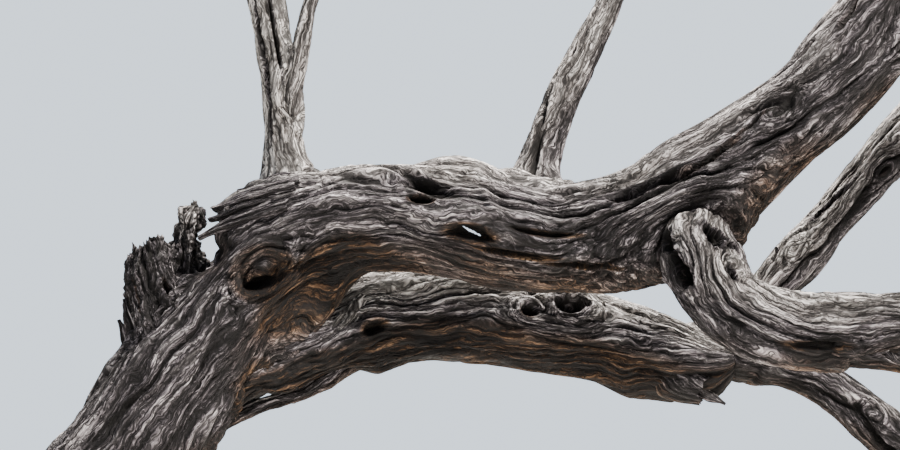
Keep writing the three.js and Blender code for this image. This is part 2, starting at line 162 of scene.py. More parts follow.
class Limb:
    """The heart line of a limb, and how it swells round its girth.

    A line has a few stations: each is a place, x, y and z, and the radius there.
    """

    def __init__(self, line, seed, start=0.0, end=1.0):
        stations = np.array(line, float)
        self.stations = stations[:, :3]
        self.radii = stations[:, 3]
        self.seed = seed
        self.start = start
        self.end = end
        random = seeded(seed)
        self.phases = [2 * math.pi * random() for _ in range(5)]
        steps = self.curve(np.linspace(0, 1, LENGTH_STEPS + 1))
        gaps = np.linalg.norm(np.diff(steps, axis=0), axis=1)
        self.lengths = np.concatenate([[0], np.cumsum(gaps)])
        self.wander = min(WANDER, WANDER_SHARE * self.lengths[-1])

    def curve(self, t):
        """A centripetal Catmull-Rom curve through the stations."""
        p = self.stations
        p = np.vstack([2 * p[0] - p[1], p, 2 * p[-1] - p[-2]])
        place = np.clip(t, 0, 1) * (len(self.stations) - 1)
        i = np.minimum(place.astype(int), len(self.stations) - 2)
        w = (place - i)[..., None]
        a, b, c, d = p[i], p[i + 1], p[i + 2], p[i + 3]
        before, between, after = (
            np.sqrt(np.linalg.norm(far - close, axis=-1))[..., None]
            for close, far in ((a, b), (b, c), (c, d))
        )
        leaving = ((b - a) / before - (c - a) / (before + between) + (c - b) / between) * between
        arriving = ((c - b) / between - (d - b) / (between + after) + (d - c) / after) * between
        return (
            b
            + leaving * w
            + (3 * (c - b) - 2 * leaving - arriving) * w**2
            + (2 * (b - c) + leaving + arriving) * w**3
        )

    def along(self, t):
        """How far along the limb a share of its line is."""
        return np.interp(t * LENGTH_STEPS, np.arange(LENGTH_STEPS + 1), self.lengths)

    def share(self, along):
        """The share of its line that lies so far along the limb."""
        return np.interp(along, self.lengths, np.linspace(0, 1, LENGTH_STEPS + 1))

    def radius(self, t):
        """How thick the limb is, eased from each station to the next."""
        place = np.clip(t, 0, 0.99999) * (len(self.radii) - 1)
        i = place.astype(int)
        ease = place - i
        share = ease * ease * (3 - 2 * ease)
        return self.radii[i] * (1 - share) + self.radii[i + 1] * share

    def axes(self, t):
        """The way ahead along the limb, the way towards the viewer, and the way up across it."""
        ahead = self.curve(t + 1e-4) - self.curve(t - 1e-4)
        tangent = ahead / np.linalg.norm(ahead, axis=-1, keepdims=True)
        facing = np.array([0, -1.0, 0]) + tangent * tangent[..., 1:2]
        facing /= np.linalg.norm(facing, axis=-1, keepdims=True)
        return tangent, facing, np.cross(facing, tangent)

    def centre(self, t):
        """The middle of the limb, which wanders off the curve towards its tip."""
        _, facing, side = self.axes(t)
        late = np.maximum(0, (t - WANDER_FROM) / (1 - WANDER_FROM)) ** 2
        across, forth = (
            (self.wander * late * np.sin(self.along(t) / run + phase))[..., None]
            for run, phase in zip(WANDER_RUNS, self.phases[3:])
        )
        return self.curve(t) + across * side + forth * facing

    def gnarl(self, t, angle):
        """How far the limb swells round its girth, as a share of its radius."""
        along = self.along(t)
        return (
            GNARL_OVAL * np.sin(2 * angle + along / OVAL_RUN + self.phases[0])
            + GNARL_LOBES * np.sin(3 * angle - along / LOBE_RUN + self.phases[1])
            + GNARL_RINGS * np.sin(along / RING_RUN + self.phases[2])
        )


def root_swell(height, angle):
    """Buttress roots swell the foot of the trunk and fade out at ROOT_HEIGHT."""
    fade = np.clip(1 - height / ROOT_HEIGHT, 0, None) ** 2
    return fade * sum(spread * np.cos(count * angle + start) for count, start, spread in ROOTS)


def ropes(limb, along, angle):
    """Round ropes of grain that twist along the trunk: below zero in a groove and above it on a crest."""
    sway = ROPE_SWAY * np.sin(along / ROPE_SWAY_RUN + limb.phases[0])
    uneven = ROPE_UNEVEN * np.sin(2 * angle + limb.phases[1])
    crest = np.abs(np.sin(ROPE_COUNT / 2 * (angle + ROPE_TWIST * along) + sway + uneven))
    return (crest - 0.5) * (1 - smooth(along, *ROPE_FADE))


def noise(points, seed):
    """Smooth noise, about -1 to 1, from a slope at each corner of unit cells.

    The large numbers only mix the bits of a corner's place into a random slope.
    """
    cell = np.floor(points).astype(np.int64)
    part = points - cell
    ease = part**3 * (part * (part * 6 - 15) + 10)
    total = np.zeros(len(points))
    for corner in itertools.product((0, 1), repeat=3):
        at = cell + corner
        mixed = at[:, 0] * 73856093 ^ at[:, 1] * 19349663 ^ at[:, 2] * 83492791 ^ seed * 50331653
        mixed = ((mixed ^ (mixed >> 15)) * 0x2C1B3C6D) & 0xFFFFFFFF
        mixed = ((mixed ^ (mixed >> 12)) * 0x297A2D39) & 0xFFFFFFFF
        mixed ^= mixed >> 15
        slope = np.stack([(mixed >> shift & 1023) / 511.5 - 1 for shift in (0, 10, 20)], axis=1)
        weight = np.where(corner, ease, 1 - ease).prod(axis=1)
        total += weight * (slope * (part - corner)).sum(axis=1)
    return total * 1.5


def smooth(value, low, high):
    """0 below low, 1 above high, and an easy slope between."""
    share = np.clip((value - low) / (high - low), 0, 1)
    return share * share * (3 - 2 * share)


def deselect_all():
    """Leaves no object selected, for the operators that come next."""
    bpy.ops.object.select_all(action="DESELECT")


def rolled_sheet(name, rows, columns):
    """A grid rolled up into a sleeve, its seam merged and each end drawn together to a point."""
    deselect_all()
    bpy.ops.mesh.primitive_grid_add(x_subdivisions=columns, y_subdivisions=rows, size=2)
    sheet = bpy.context.object
    sheet.name = name
    place = np.empty(len(sheet.data.vertices) * 3)
    sheet.data.vertices.foreach_get("co", place)
    place = place.reshape(-1, 3)
    open_ring = np.abs(place[:, 1]) < 1 - 0.5 / rows
    round_it = math.pi * place[:, 0]
    rolled = np.stack([open_ring * np.cos(round_it), open_ring * np.sin(round_it), place[:, 1]], axis=1)
    sheet.data.vertices.foreach_set("co", rolled.ravel())
    bpy.ops.object.mode_set(mode="EDIT")
    bpy.ops.mesh.select_all(action="SELECT")
    bpy.ops.mesh.remove_doubles(threshold=1e-4)
    bpy.ops.object.mode_set(mode="OBJECT")
    bpy.ops.object.shade_smooth()
    rolled = np.empty(len(sheet.data.vertices) * 3)
    sheet.data.vertices.foreach_get("co", rolled)
    rolled = rolled.reshape(-1, 3)
    row = np.round((rolled[:, 2] + 1) / 2 * rows).astype(int)
    return sheet, row, np.arctan2(rolled[:, 1], rolled[:, 0])


def foot_share(limb, angle):
    """The share of the trunk's line at which each side of it meets the ground, found by halving."""
    low = np.zeros(len(angle))
    high = np.full(len(angle), FOOT_HIGHEST)
    for _ in range(FOOT_ROUNDS):
        middle = (low + high) / 2
        height = skin(limb, middle, angle, 1)[0][:, 2]
        low = np.where(height < 0, middle, low)
        high = np.where(height < 0, high, middle)
    return low


def skin(limb, t, angle, across):
    """Points on the plain skin of a limb, the way out from each, and the radius there."""
    centre = limb.centre(t)
    _, facing, side = limb.axes(t)
    swell = 1 + limb.gnarl(t, angle)
    if limb.rooted:
        swell = swell + root_swell(centre[:, 2], angle) + ROPE_HEIGHT * ropes(limb, limb.along(t), angle)
    radius = limb.radius(t) * swell
    deep, wide = limb.flat
    out = facing * (deep * np.cos(angle))[:, None] + side * (wide * np.sin(angle))[:, None]
    return centre + out * (radius * across)[:, None], out, radius


def splinter_edge(limb, angle):
    """How far a broken end stands out round its rim: the source's coarse teeth, with finer ones between."""
    random = seeded(limb.seed + TEETH_SEED)
    teeth = np.array([random() for _ in range(limb.sides)])
    place = (angle / (2 * math.pi)) % 1 * limb.sides
    coarse = np.interp(place, np.arange(limb.sides + 1), np.append(teeth, teeth[0]))
    circle = np.stack([np.cos(angle), np.sin(angle), np.full(len(angle), limb.seed * 7.3)], axis=1)
    fine = sum(
        high * noise(circle * count, limb.seed + i) for i, (count, high) in enumerate(FINE_SPLINTERS)
    )
    return limb.jag * (coarse + FINE_SPLINTER_SHARE * fine)


def near(limb, along, angle, tilt=0.0):
    """How far each point of a limb's skin lies from a place on it, along and across, in millimetres."""
    turn = (limb.angle - math.radians(angle) + math.pi) % (2 * math.pi) - math.pi
    x = limb.run - along
    y = turn * limb.girth
    c, s = math.cos(math.radians(tilt)), math.sin(math.radians(tilt))
    return x * c + y * s, y * c - x * s


def parted_grain(limb, partings):
    """Grain coordinates: they run along the limb, spiral, wave, and part and ring round every knot."""
    girth = limb.grain_girth
    size = limb.pattern_size
    depth = np.full(len(limb.run), float(girth))
    angle = limb.angle + limb.twist * limb.run
    for i, (sway, across, along) in enumerate(GRAIN_WAVES):
        stretched = limb.run / along / girth * across
        place = np.stack([np.cos(limb.angle), np.sin(limb.angle), stretched], axis=1)
        angle += sway * size / girth * noise(place * girth / (across * size), limb.seed + GRAIN_SEED + i)
    for along, where, spread in partings:
        x, y = near(limb, along, where)
        pushed = y * spread**2 / ((x / PARTING_LENGTH) ** 2 + y**2 + PARTING_CORE * spread**2)
        angle -= pushed / limb.girth
        depth += RING_DEPTH * spread * np.exp(-((x / RING_LENGTH) ** 2 + y**2) / (RING_REACH * spread) ** 2)
    return np.stack([depth * np.cos(angle), depth * np.sin(angle), limb.run * GRAIN_STRETCH], axis=1)


def strands(grain, size, seed):
    """Rounded strands with narrow grooves between them: 0 in a groove and 1 on a strand."""
    return 1 - (1 - np.minimum(STRAND_STEEP * np.abs(noise(grain / size, seed)), 1)) ** 2


def ledges(layer):
    """Layers that rise in steps, each with a steep edge."""
    return np.floor(layer) + smooth(layer - np.floor(layer), *LEDGE_RISE)


def weather(limb, grain):
    """Presses strands, peeled layers and long cracks into the skin, and paints shade: the crest tone is low
    in the grooves between strands and in cracks, and cracks are marked dark.
    """
    size = limb.pattern_size
    levels = [
        strands(grain, across * size, limb.seed + STRAND_SEED + i) for i, across in enumerate(STRAND_SIZES)
    ]
    relief = sum(height * (level - STRAND_MIDDLE) for height, level in zip(STRAND_HEIGHTS, levels))
    layer = PEEL_LAYERS * noise(grain / (PEEL_SIZE * size), limb.seed + PEEL_SEED)
    peeled = PEEL_HEIGHT * ledges(layer)
    path = noise(grain / (CRACK_SIZE * size), limb.seed + CRACK_SEED)
    open_part = smooth(noise(grain / (CRACK_RUN * size), limb.seed + CRACK_SEED + 1), 0.0, CRACK_OPENS)
    crack = np.exp(-((path / CRACK_WIDTH) ** 2)) * open_part
    swelling = SWELLING_HEIGHT * noise(limb.points / SWELLING_SIZE, limb.seed + SWELLING_SEED)
    limb.height += limb.relief_share * (relief + peeled + swelling - CRACK_DEPTH * crack)
    # The crest tone: pale on strand crests and dark between them, which is painted shade in the grooves,
    # and darker still in cracks.
    crest_tone = sum(share * level**2 for share, level in zip(STRAND_CREST_TONE, levels))
    limb.ridge = np.clip(crest_tone - CRACK_SHADE * crack, 0, 1)
    limb.hollow = np.maximum(limb.hollow, CRACK_DARK * crack)
    if limb.rooted:
        # The bottom of a groove is at -0.5. Painted shade darkens the rope grooves.
        groove = np.clip(-2 * ropes(limb, limb.run, limb.angle), 0, 1)
        limb.ridge *= 1 - ROPE_GROOVE_SHADE * groove
        limb.hollow = np.maximum(limb.hollow, CRACK_DARK * groove**2)


def press_pits(limb, grain, pits, rot):
    """Holes and scoops with steep sides along the grain. Rot gives each a low lip and a floor darkened by
    rot and painted shade, and painted shade browns the wood round each.
    """
    for along, angle, long, wide, deep, tilt in pits:
        x, y = near(limb, along, angle, tilt)
        rim = np.hypot(x / long, y / wide)
        tooth = PIT_TOOTH * wide + LEAST_TOOTH
        ragged = rim * (1 + PIT_RAGGED * noise(grain / tooth, limb.seed + PIT_SEED))
        limb.height -= deep * (1 - smooth(ragged, *PIT_WALL))
        lip = np.exp(-(((rim - LIP_PLACE) / LIP_WIDTH) ** 2))
        limb.height += LIP_HEIGHT * rot * min(deep, LIP_DEEPEST) * lip
        limb.hollow = np.maximum(limb.hollow, PIT_DARK * rot * (1 - smooth(ragged, *PIT_DARKENS)))
        limb.shelter = np.maximum(limb.shelter, 1 - smooth(rim, *PIT_SHADE_REACH))


def raise_lumps(limb, lumps):
    """Burls, lips and ropes of callus that stand out of the limb. Each lifts most of the dark and the
    painted shade from the skin under it.
    """
    for along, angle, long, wide, high, tilt in lumps:
        x, y = near(limb, along, angle, tilt)
        lump = np.exp(-((x / long) ** 2) - (y / wide) ** 2)
        limb.height += high * lump
        limb.hollow *= 1 - LUMP_CLEARS_ROT_AND_SHADE * lump
        limb.shelter *= 1 - LUMP_CLEARS_PIT_SHADE * lump


def raise_plates(limb, plates):
    """Layers of wood that lie on the skin, each with a ragged broken edge that faces down the limb and a
    painted shadow just below it.
    """
    for along, angle, long, wide, high in plates:
        x, y = near(limb, along, angle)
        x = x + PLATE_RAGGED * wide * noise(limb.points / (PLATE_TOOTH * wide), limb.seed + PLATE_SEED)
        x = x - PLATE_BOW * y**2 / wide
        within = 1 - smooth(np.abs(y) / wide, *PLATE_SIDE)
        sinks = smooth(x, PLATE_SINKS_FROM * long, long)
        limb.height += high * smooth(x, *PLATE_EDGE) * (1 - sinks) * within
        under = np.exp(-(((x + SHADOW_PLACE) / SHADOW_WIDTH) ** 2)) * within
        limb.ridge *= 1 - SHADOW_DIMS_CREST * under
        limb.hollow = np.maximum(limb.hollow, PLATE_SHADOW_DARK * under)


def crumble(limb, layers):
    """Breaks the skin of a rotten piece into rough ledges, with a painted shadow line under each edge."""
    for i, (size, high) in enumerate(layers):
        layer = CRUMB_LAYERS * noise(limb.points / size, limb.seed + CRUMB_SEED + i)
        limb.height += high * ledges(layer) * (limb.relief_share > 0)
        under = np.exp(-(((layer - np.floor(layer) - CRUMB_EDGE) / CRUMB_EDGE_WIDTH) ** 2))
        limb.ridge *= 1 - SHADOW_DIMS_CREST * under
        limb.hollow = np.maximum(limb.hollow, CRUMB_SHADOW_DARK * under)


def write_bark(limb):
    """Writes the limb's skin, raised by its relief, to its mesh."""
    place = (limb.points + limb.out * limb.height[:, None]) * MM
    if limb.rooted:
        place[:, 2] = np.where(limb.row <= 1, 0, np.maximum(place[:, 2], 0))
    limb.sheet.data.vertices.foreach_set("co", place.astype(np.float32).ravel())
    limb.sheet.data.update()


def write_attribute(mesh, name, kind, field, values):
    """Gives each point of a mesh a value that its material reads."""
    attribute = mesh.attributes.new(name, kind, "POINT")
    attribute.data.foreach_set(field, values.astype(np.float32).ravel())


def lay_rows(limb, row, rows):
    """Where each row of the sheet lies on the limb: how far along, and how wide against the full radius."""
    first = 2 if limb.starts == "tucked" else 1
    last = rows - 1
    if limb.ends == "tucked":
        last = rows - 2
    if limb.ends == "broken":
        last = rows - 1 - CUP_ROWS
    begin, finish = limb.along(np.array([limb.start, limb.end]))
    if limb.starts == "cut":
        begin = limb.along(foot_share(limb, limb.angle))
    share = np.clip((row - first) / (last - first), -1 / (last - first), 1 + 1 / (last - first))
    if limb.ends != "tucked":
        share = np.minimum(share, 1)
    share = np.where(row == 0, np.minimum(share, 0), share)
    along = begin + (finish - begin) * share
    across = np.ones(len(row))
    if limb.starts == "domed":
        across = across * np.sqrt(1 - np.clip(1 - (along - begin) / limb.dome, 0, 1) ** 2)
    if limb.ends == "domed":
        across = across * np.sqrt(1 - np.clip(1 - (finish - along) / limb.dome, 0, 1) ** 2)
    across = np.where((row == 0) | (row == rows), 0.0, across)
    cup = np.clip((row - last) / CUP_ROWS, 0, 1) if limb.ends == "broken" else np.zeros(len(row))
    return along, across, share, cup


def tear_end(limb, t, share, inward, cup):
    """Breaks off the far end of a limb: a rim of splinters, and a rotted cup inside it, painted darker
    inwards as rot and as shade.
    """
    narrow = (1 - inward) ** CUP_NARROWS * (1 - CUP_LIP * smooth(inward, 0, CUP_LIP))
    slide = splinter_edge(limb, limb.angle) * smooth(share, SPLINTERS_FROM, 1) * (1 - inward)
    slide -= cup * smooth(inward, 0, CUP_FLOOR)
    heart = limb.centre(t)
    ahead = limb.axes(t)[0]
    limb.points = heart + (limb.points - heart) * narrow[:, None] + ahead * slide[:, None]
    limb.relief_share = limb.relief_share * narrow
    limb.hollow = smooth(inward, *CUP_DARKENS)
    limb.run = limb.run + slide


def face_outwards(sheet):
    """Turns every face of the active sheet to point out of it."""
    bpy.ops.object.mode_set(mode="EDIT")
    bpy.ops.mesh.select_all(action="SELECT")
    bpy.ops.mesh.normals_make_consistent(inside=False)
    bpy.ops.object.mode_set(mode="OBJECT")


def lay_bark(
    name,
    limb,
    rows,
    columns,
    starts="buried",
    ends="tip",
    dome=0,
    girth=None,
    twist=0.0006,
    partings=(),
    pits=(),
    cuts=(),
    lumps=(),
    plates=(),
    sides=10,
    jag=0,
    cup=0,
    flat=(1.0, 1.0),
    crumbled=(),
    pale=0.0,
    top_bleach_and_light=1.0,
    splinter=False,
):
    """Rolls a sheet round a limb, weathers it, and sets it in place of the limb's plain solid.

    A limb starts cut at the ground, domed, buried in another limb, or tucked into the sheet before it.
    It ends in a tip, domed, broken, or tucked into the sheet after it. A splinter has no plain solid.
    The sides are the coarse teeth of a broken end, as many as its solid has, and jag is their height.
    """
    limb.starts, limb.ends, limb.dome = starts, ends, dome
    limb.sides, limb.jag, limb.twist, limb.columns = sides, jag, twist, columns
    limb.rooted = starts == "cut"
    limb.flat = flat
    piece = name if splinter else f"{name}_wood"
    limb.sheet, limb.row, limb.angle = rolled_sheet(piece, rows, columns)
    limb.run, limb.across, share, inward = lay_rows(limb, limb.row, rows)
    t = limb.share(limb.run)
    limb.points, limb.out, limb.girth = skin(limb, t, limb.angle, limb.across)
    limb.grain_girth = girth or limb.radius(np.linspace(limb.start, limb.end, 20)).mean()
    limb.pattern_size = min(1, (limb.grain_girth / FULL_PATTERN_RADIUS) ** PATTERN_POWER)
    tucked = ((limb.row <= 1) & (starts == "tucked")) | ((limb.row >= rows - 1) & (ends == "tucked"))
    limb.height = np.where(tucked, -TUCK, 0.0) * limb.across
    limb.hollow, limb.shelter, limb.collar = np.zeros((3, len(limb.run)))
    limb.relief_share = limb.across * np.minimum(1, limb.girth / FULL_RELIEF_RADIUS) ** RELIEF_POWER
    if ends == "broken":
        tear_end(limb, t, share, inward, cup)
    grain = parted_grain(limb, partings)
    weather(limb, grain)
    raise_plates(limb, plates)
    press_pits(limb, grain, cuts, rot=0)
    press_pits(limb, grain, pits, rot=1)
    raise_lumps(limb, lumps)
    crumble(limb, crumbled)
    write_bark(limb)
    face_outwards(limb.sheet)
    mesh = limb.sheet.data
    # Bleach and painted light: the limb's paleness and a random unevenness, with painted light that makes
    # faces which look up paler, painted shade that makes faces which look down darker, and painted shade
    # that makes the wood browner and darker round pits and cuts.
    uneven = BLEACH_CHANGE * noise(limb.points / BLEACH_SIZE, limb.seed + BLEACH_SEED)
    bleach_and_light = pale + top_bleach_and_light * limb.out[:, 2] + uneven - limb.shelter
    write_attribute(mesh, "grain", "FLOAT_VECTOR", "vector", grain * MM)
    write_attribute(mesh, "ridge", "FLOAT", "value", limb.ridge)
    write_attribute(mesh, "hollow", "FLOAT", "value", limb.hollow)
    write_attribute(mesh, "bleach_and_light", "FLOAT", "value", bleach_and_light)
    mesh.materials.append(WEATHERED_WOOD)
    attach(limb.sheet, "root")
    if not splinter:
        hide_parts(name)
        limbs[name] = limb


def linear(hex_colour):
    """An sRGB hex colour as linear values."""
    values = [int(hex_colour[i : i + 2], 16) / 255 for i in (1, 3, 5)]
    return tuple(v / 12.92 if v <= 0.04045 else ((v + 0.055) / 1.055) ** 2.4 for v in values) + (1.0,)


def add(tree, kind, inputs, **settings):
    """Adds a node with its settings. An input is a value, or the socket that feeds it."""
    node = tree.nodes.new(kind)
    for setting, value in settings.items():
        setattr(node, setting, value)
    for name, value in inputs.items():
        if isinstance(value, bpy.types.NodeSocket):
            tree.links.new(value, node.inputs[name])
        else:
            node.inputs[name].default_value = value
    return node


def set_stops(ramp, stops):
    """Gives a colour ramp its stops, each a position and a hex colour."""
    elements = ramp.color_ramp.elements
    while len(elements) < len(stops):
        elements.new(1.0)
    for element, (position, hex_colour) in zip(elements, stops):
        element.position = position
        element.color = linear(hex_colour)


# The wood's colours, from the bottom of a groove to a strand's crest, and the sizes of its fine marks.
# The silver tone is sun-bleached wood and painted light on faces that look up; the brown tone is painted
# shade under the limbs and round pits. The split and hollow darks are painted shade in splits, cracks,
# grooves and pits, partly dark rot.
# Real fibres are under a millimetre wide. Here they are a few millimetres, so that they show.
BARE_WOOD = [(0.0, "#0a090a"), (0.25, "#1d1a1c"), (0.5, "#4b464a"), (0.75, "#8f888c"), (1.0, "#dcd6d6")]
BLEACHED_AND_LIT_WOOD = [(0.0, "#171516"), (0.3, "#5a5554"), (0.6, "#ada7a3"), (0.85, "#f2eeea")]
SHADED_BROWN_WOOD = [(0.0, "#080504"), (0.2, "#261a10"), (0.5, "#573e27"), (0.85, "#9c7954")]
SPLIT_SHADE, ROT_AND_SHADE_DARK = "#0c0a0a", "#0b0806"
CRIMP_SIZE, CRIMP_SWAY = 28, 14
FIBRE_SIZE = 5
FIBRE_SHORTER = 0.55
STREAK_SIZE = 22
STAIN_SIZE = 190
SPLIT_SIZE, SPLIT_EDGE = 26, (0.01, 0.1)
FINE_LINES = ((11, 0.048), (5.5, 0.07))
FIBRE_BUMP = 3.5
DARKEST = -1.45


def crimped_grain(tree, place):
    """Grain coordinates with the crimp of old wood that has dried and shrunk."""
    grain = add(tree, "ShaderNodeAttribute", {}, attribute_name="grain").outputs["Vector"]
    crimp = add(
        tree, "ShaderNodeTexNoise", {"Vector": place, "Scale": 1 / (CRIMP_SIZE * MM), "Detail": 1}
    ).outputs["Color"]
    crimp = add(
        tree, "ShaderNodeVectorMath", {0: crimp, 1: (0.5, 0.5, 0.5)}, operation="SUBTRACT"
    ).outputs[0]
    sway = (CRIMP_SWAY * MM, CRIMP_SWAY * MM, 0.0)
    crimped = add(
        tree, "ShaderNodeVectorMath", {0: crimp, 1: sway, 2: grain}, operation="MULTIPLY_ADD"
    ).outputs[0]
    return add(
        tree, "ShaderNodeVectorMath", {0: crimped, 1: (1.0, 1.0, FIBRE_SHORTER)}, operation="MULTIPLY"
    ).outputs[0]


def fine_splits(tree, crimped):
    """Thin lines where the wood has split along its grain: 0 in a split and 1 beside it. The splits are
    painted dark, as shade.
    """
    edge = add(
        tree,
        "ShaderNodeTexVoronoi",
        {"Vector": crimped, "Scale": 1 / (SPLIT_SIZE * MM)},
        feature="DISTANCE_TO_EDGE",
    ).outputs["Distance"]
    beside = add(
        tree, "ShaderNodeMapRange", {"Value": edge, "From Min": SPLIT_EDGE[0], "From Max": SPLIT_EDGE[1]}
    ).outputs["Result"]
    for width, thin in FINE_LINES:
        wave = add(
            tree, "ShaderNodeTexNoise", {"Vector": crimped, "Scale": 1 / (width * MM), "Detail": 1}
        ).outputs["Fac"]
        away = add(tree, "ShaderNodeMath", {0: wave, 1: 0.5}, operation="SUBTRACT").outputs[0]
        away = add(tree, "ShaderNodeMath", {0: away}, operation="ABSOLUTE").outputs[0]
        line = add(tree, "ShaderNodeMapRange", {"Value": away, "From Max": thin}).outputs["Result"]
        beside = add(tree, "ShaderNodeMath", {0: line, 1: beside}, operation="MULTIPLY").outputs[0]
    return beside


def wood_colour(tree, shade, bleach_and_light):
    """Grey bare wood, silver where it faces up, as sun-bleached wood and painted light, and brown where it
    faces down or lies round a pit, as painted shade.
    """
    bare, silver, brown = (add(tree, "ShaderNodeValToRGB", {"Fac": shade}) for _ in range(3))
    set_stops(bare, BARE_WOOD)
    set_stops(silver, BLEACHED_AND_LIT_WOOD)
    set_stops(brown, SHADED_BROWN_WOOD)
    colour = bare.outputs["Color"]
    # Each tone with the bleach and painted light where it begins, where it is full, and the most of it.
    for tone, begins, full, most in ((brown, -0.35, -1.2, 0.9), (silver, 0.4, 1.3, 0.85)):
        share = add(
            tree,
            "ShaderNodeMapRange",
            {"Value": bleach_and_light, "From Min": begins, "From Max": full, "To Min": 0.0, "To Max": most},
        ).outputs["Result"]
        colour = add(
            tree, "ShaderNodeMix", {0: share, 6: colour, 7: tone.outputs["Color"]}, data_type="RGBA"
        ).outputs[2]
    return colour


def start_material(name, roughness, specular):
    """A new material with one shader, as rough and as shiny as its surface is."""
    material = bpy.data.materials.new(name)
    material.use_nodes = True
    shader = material.node_tree.nodes["Principled BSDF"]
    shader.inputs["Roughness"].default_value = roughness
    shader.inputs["Specular IOR Level"].default_value = specular
    return material, material.node_tree, shader


def weathered_wood():
    """Weathered hardwood, bleached silver-grey by the sun: dull and fibrous. Painted shade makes it dark in
    every groove, split and hollow and brown underneath, and painted light pales its tops.
    """
    material, tree, shader = start_material("weathered_wood", roughness=0.82, specular=0.3)
    ridge, hollow, bleach_and_light = (
        add(tree, "ShaderNodeAttribute", {}, attribute_name=value).outputs["Fac"]
        for value in ("ridge", "hollow", "bleach_and_light")
    )
    place = add(tree, "ShaderNodeTexCoord", {}).outputs["Object"]
    crimped = crimped_grain(tree, place)
    beside = fine_splits(tree, crimped)
    fibre, streak, stain = (
        add(
            tree,
            "ShaderNodeTexNoise",
            {"Vector": where, "Scale": 1 / (size * MM), "Detail": detail, "Roughness": roughness},
        ).outputs["Fac"]
        for where, size, detail, roughness in (
            (crimped, FIBRE_SIZE, 4, 0.77),
            (crimped, STREAK_SIZE, 2, 0.5),
            (place, STAIN_SIZE, 2, 0.5),
        )
    )
    # The tone: the crest tone, which paints shade in the grooves, the fibres, streaks and stains, and the
    # bleach with its painted light and shade.
    shade = DARKEST
    for value, weight in ((ridge, 0.68), (fibre, 2.2), (streak, 0.35), (stain, 0.5), (bleach_and_light, 0.16)):
        shade = add(
            tree, "ShaderNodeMath", {0: value, 1: weight, 2: shade}, operation="MULTIPLY_ADD"
        ).outputs[0]
    colour = wood_colour(tree, shade, bleach_and_light)
    # Painted shade: near-black in the fine splits, and dark in cracks, grooves, pits and broken cups, where
    # it is partly dark rot.
    split = add(
        tree, "ShaderNodeMapRange", {"Value": beside, "To Min": 0.9, "To Max": 0.0}
    ).outputs["Result"]
    for share, dark in ((split, SPLIT_SHADE), (hollow, ROT_AND_SHADE_DARK)):
        colour = add(
            tree, "ShaderNodeMix", {0: share, 6: colour, 7: linear(dark)}, data_type="RGBA"
        ).outputs[2]
    tree.links.new(colour, shader.inputs["Base Color"])
    rough = add(tree, "ShaderNodeMath", {0: fibre, 1: 0.8, 2: beside}, operation="MULTIPLY_ADD").outputs[0]
    bump = add(tree, "ShaderNodeBump", {"Height": rough, "Strength": 1.0, "Distance": FIBRE_BUMP * MM})
    tree.links.new(bump.outputs["Normal"], shader.inputs["Normal"])
    return material


WEATHERED_WOOD = weathered_wood()
limbs = {}

MAIN_LINE = [
    (-15, 0, -150, 300),
    (20, 0, 250, 235),
    (120, -10, 700, 200),
    (300, -10, 1170, 182),
    (600, 0, 1680, 166),
    (820, 0, 2010, 150),
    (1070, 0, 2172, 143),
    (1335, 0, 2170, 140),
    (1610, 0, 2132, 138),
    (1870, 0, 2185, 150),
    (2190, 30, 2435, 119),
    (2460, 70, 2700, 118),
    (2960, 80, 3200, 88),
    (3300, 130, 3650, 58),
    (3480, 240, 4060, 30),
]
STEM_SPANS = len(MAIN_LINE) - 1
CROTCH_SHARE = 4.75 / STEM_SPANS
RISE_SHARE = 8.6 / STEM_SPANS

# A parting is a limb that leaves the stem, or a knot: how far along, at what angle, how wide.
MAIN_PARTINGS = [
    (2163, -126, 130),
    (3489, -50, 130),
    (2572, 94, 85),
    (3113, 118, 75),
    (5189, -45, 70),
    (4585, -8, 65),
    (4913, 147, 65),
    (2214, 91, 90),
    (2407, -9, 62),
    (1500, 30, 40),
    (1100, -20, 45),
    (700, 60, 40),
    (3831, 20, 45),
    (4300, -30, 40),
]

# Pits are rotted hollows, and cuts are sound ones. Each pit, cut and lump has how far along it is, at what
# angle, how long and how wide it is, how deep or high, and how tilted.
# A pit's floor is painted dark, as rot and as shade, and painted shade browns the wood round each pit and
# cut.
MAIN_PITS = [
    (2386, -17, 52, 24, 46, -35),
    (2867, 28, 78, 30, 34, -15),
    (2849, 12, 34, 12, 40, 0),
    (2982, -14, 62, 21, 40, 0),
    (3100, -27, 90, 8, 24, -2),
    (3245, -40, 78, 8, 24, -12),
    (3160, -4, 90, 8, 22, -2),
    (3440, 32, 130, 24, 70, -6),
    (3590, 21, 130, 12, 40, -3),
    (3720, 24, 120, 7, 24, 3),
    (4150, 40, 60, 12, 30, 10),
]
MAIN_CUTS = [
    (2350, 86, 62, 150, 46, 0),
    (2312, 88, 48, 130, 32, 0),
    (2405, -9, 78, 62, 36, -35),
    (2540, -55, 200, 70, 14, 0),
    (2150, -92, 75, 70, 16, 0),
]
MAIN_LUMPS = [
    (2424, -2, 28, 22, 28, -35),
    (2915, 88, 115, 62, 42, 0),
    (2385, -92, 185, 46, 46, 0),
    (3021, 15, 65, 13, 16, -52),
    (3176, -17, 120, 13, 14, -14),
    (2800, 50, 90, 26, 18, 0),
    (3560, 4, 150, 20, 16, 4),
]
# Plates are layers of wood, measured in the same way and never tilted.
MAIN_PLATES = [
    (2372, 58, 150, 34, 18),
    (2396, 36, 170, 26, 12),
    (2420, 72, 160, 40, 22),
    (2446, 50, 170, 30, 14),
    (2482, 78, 150, 38, 20),
    (2512, 56, 160, 30, 13),
    (2548, 82, 130, 34, 18),
]

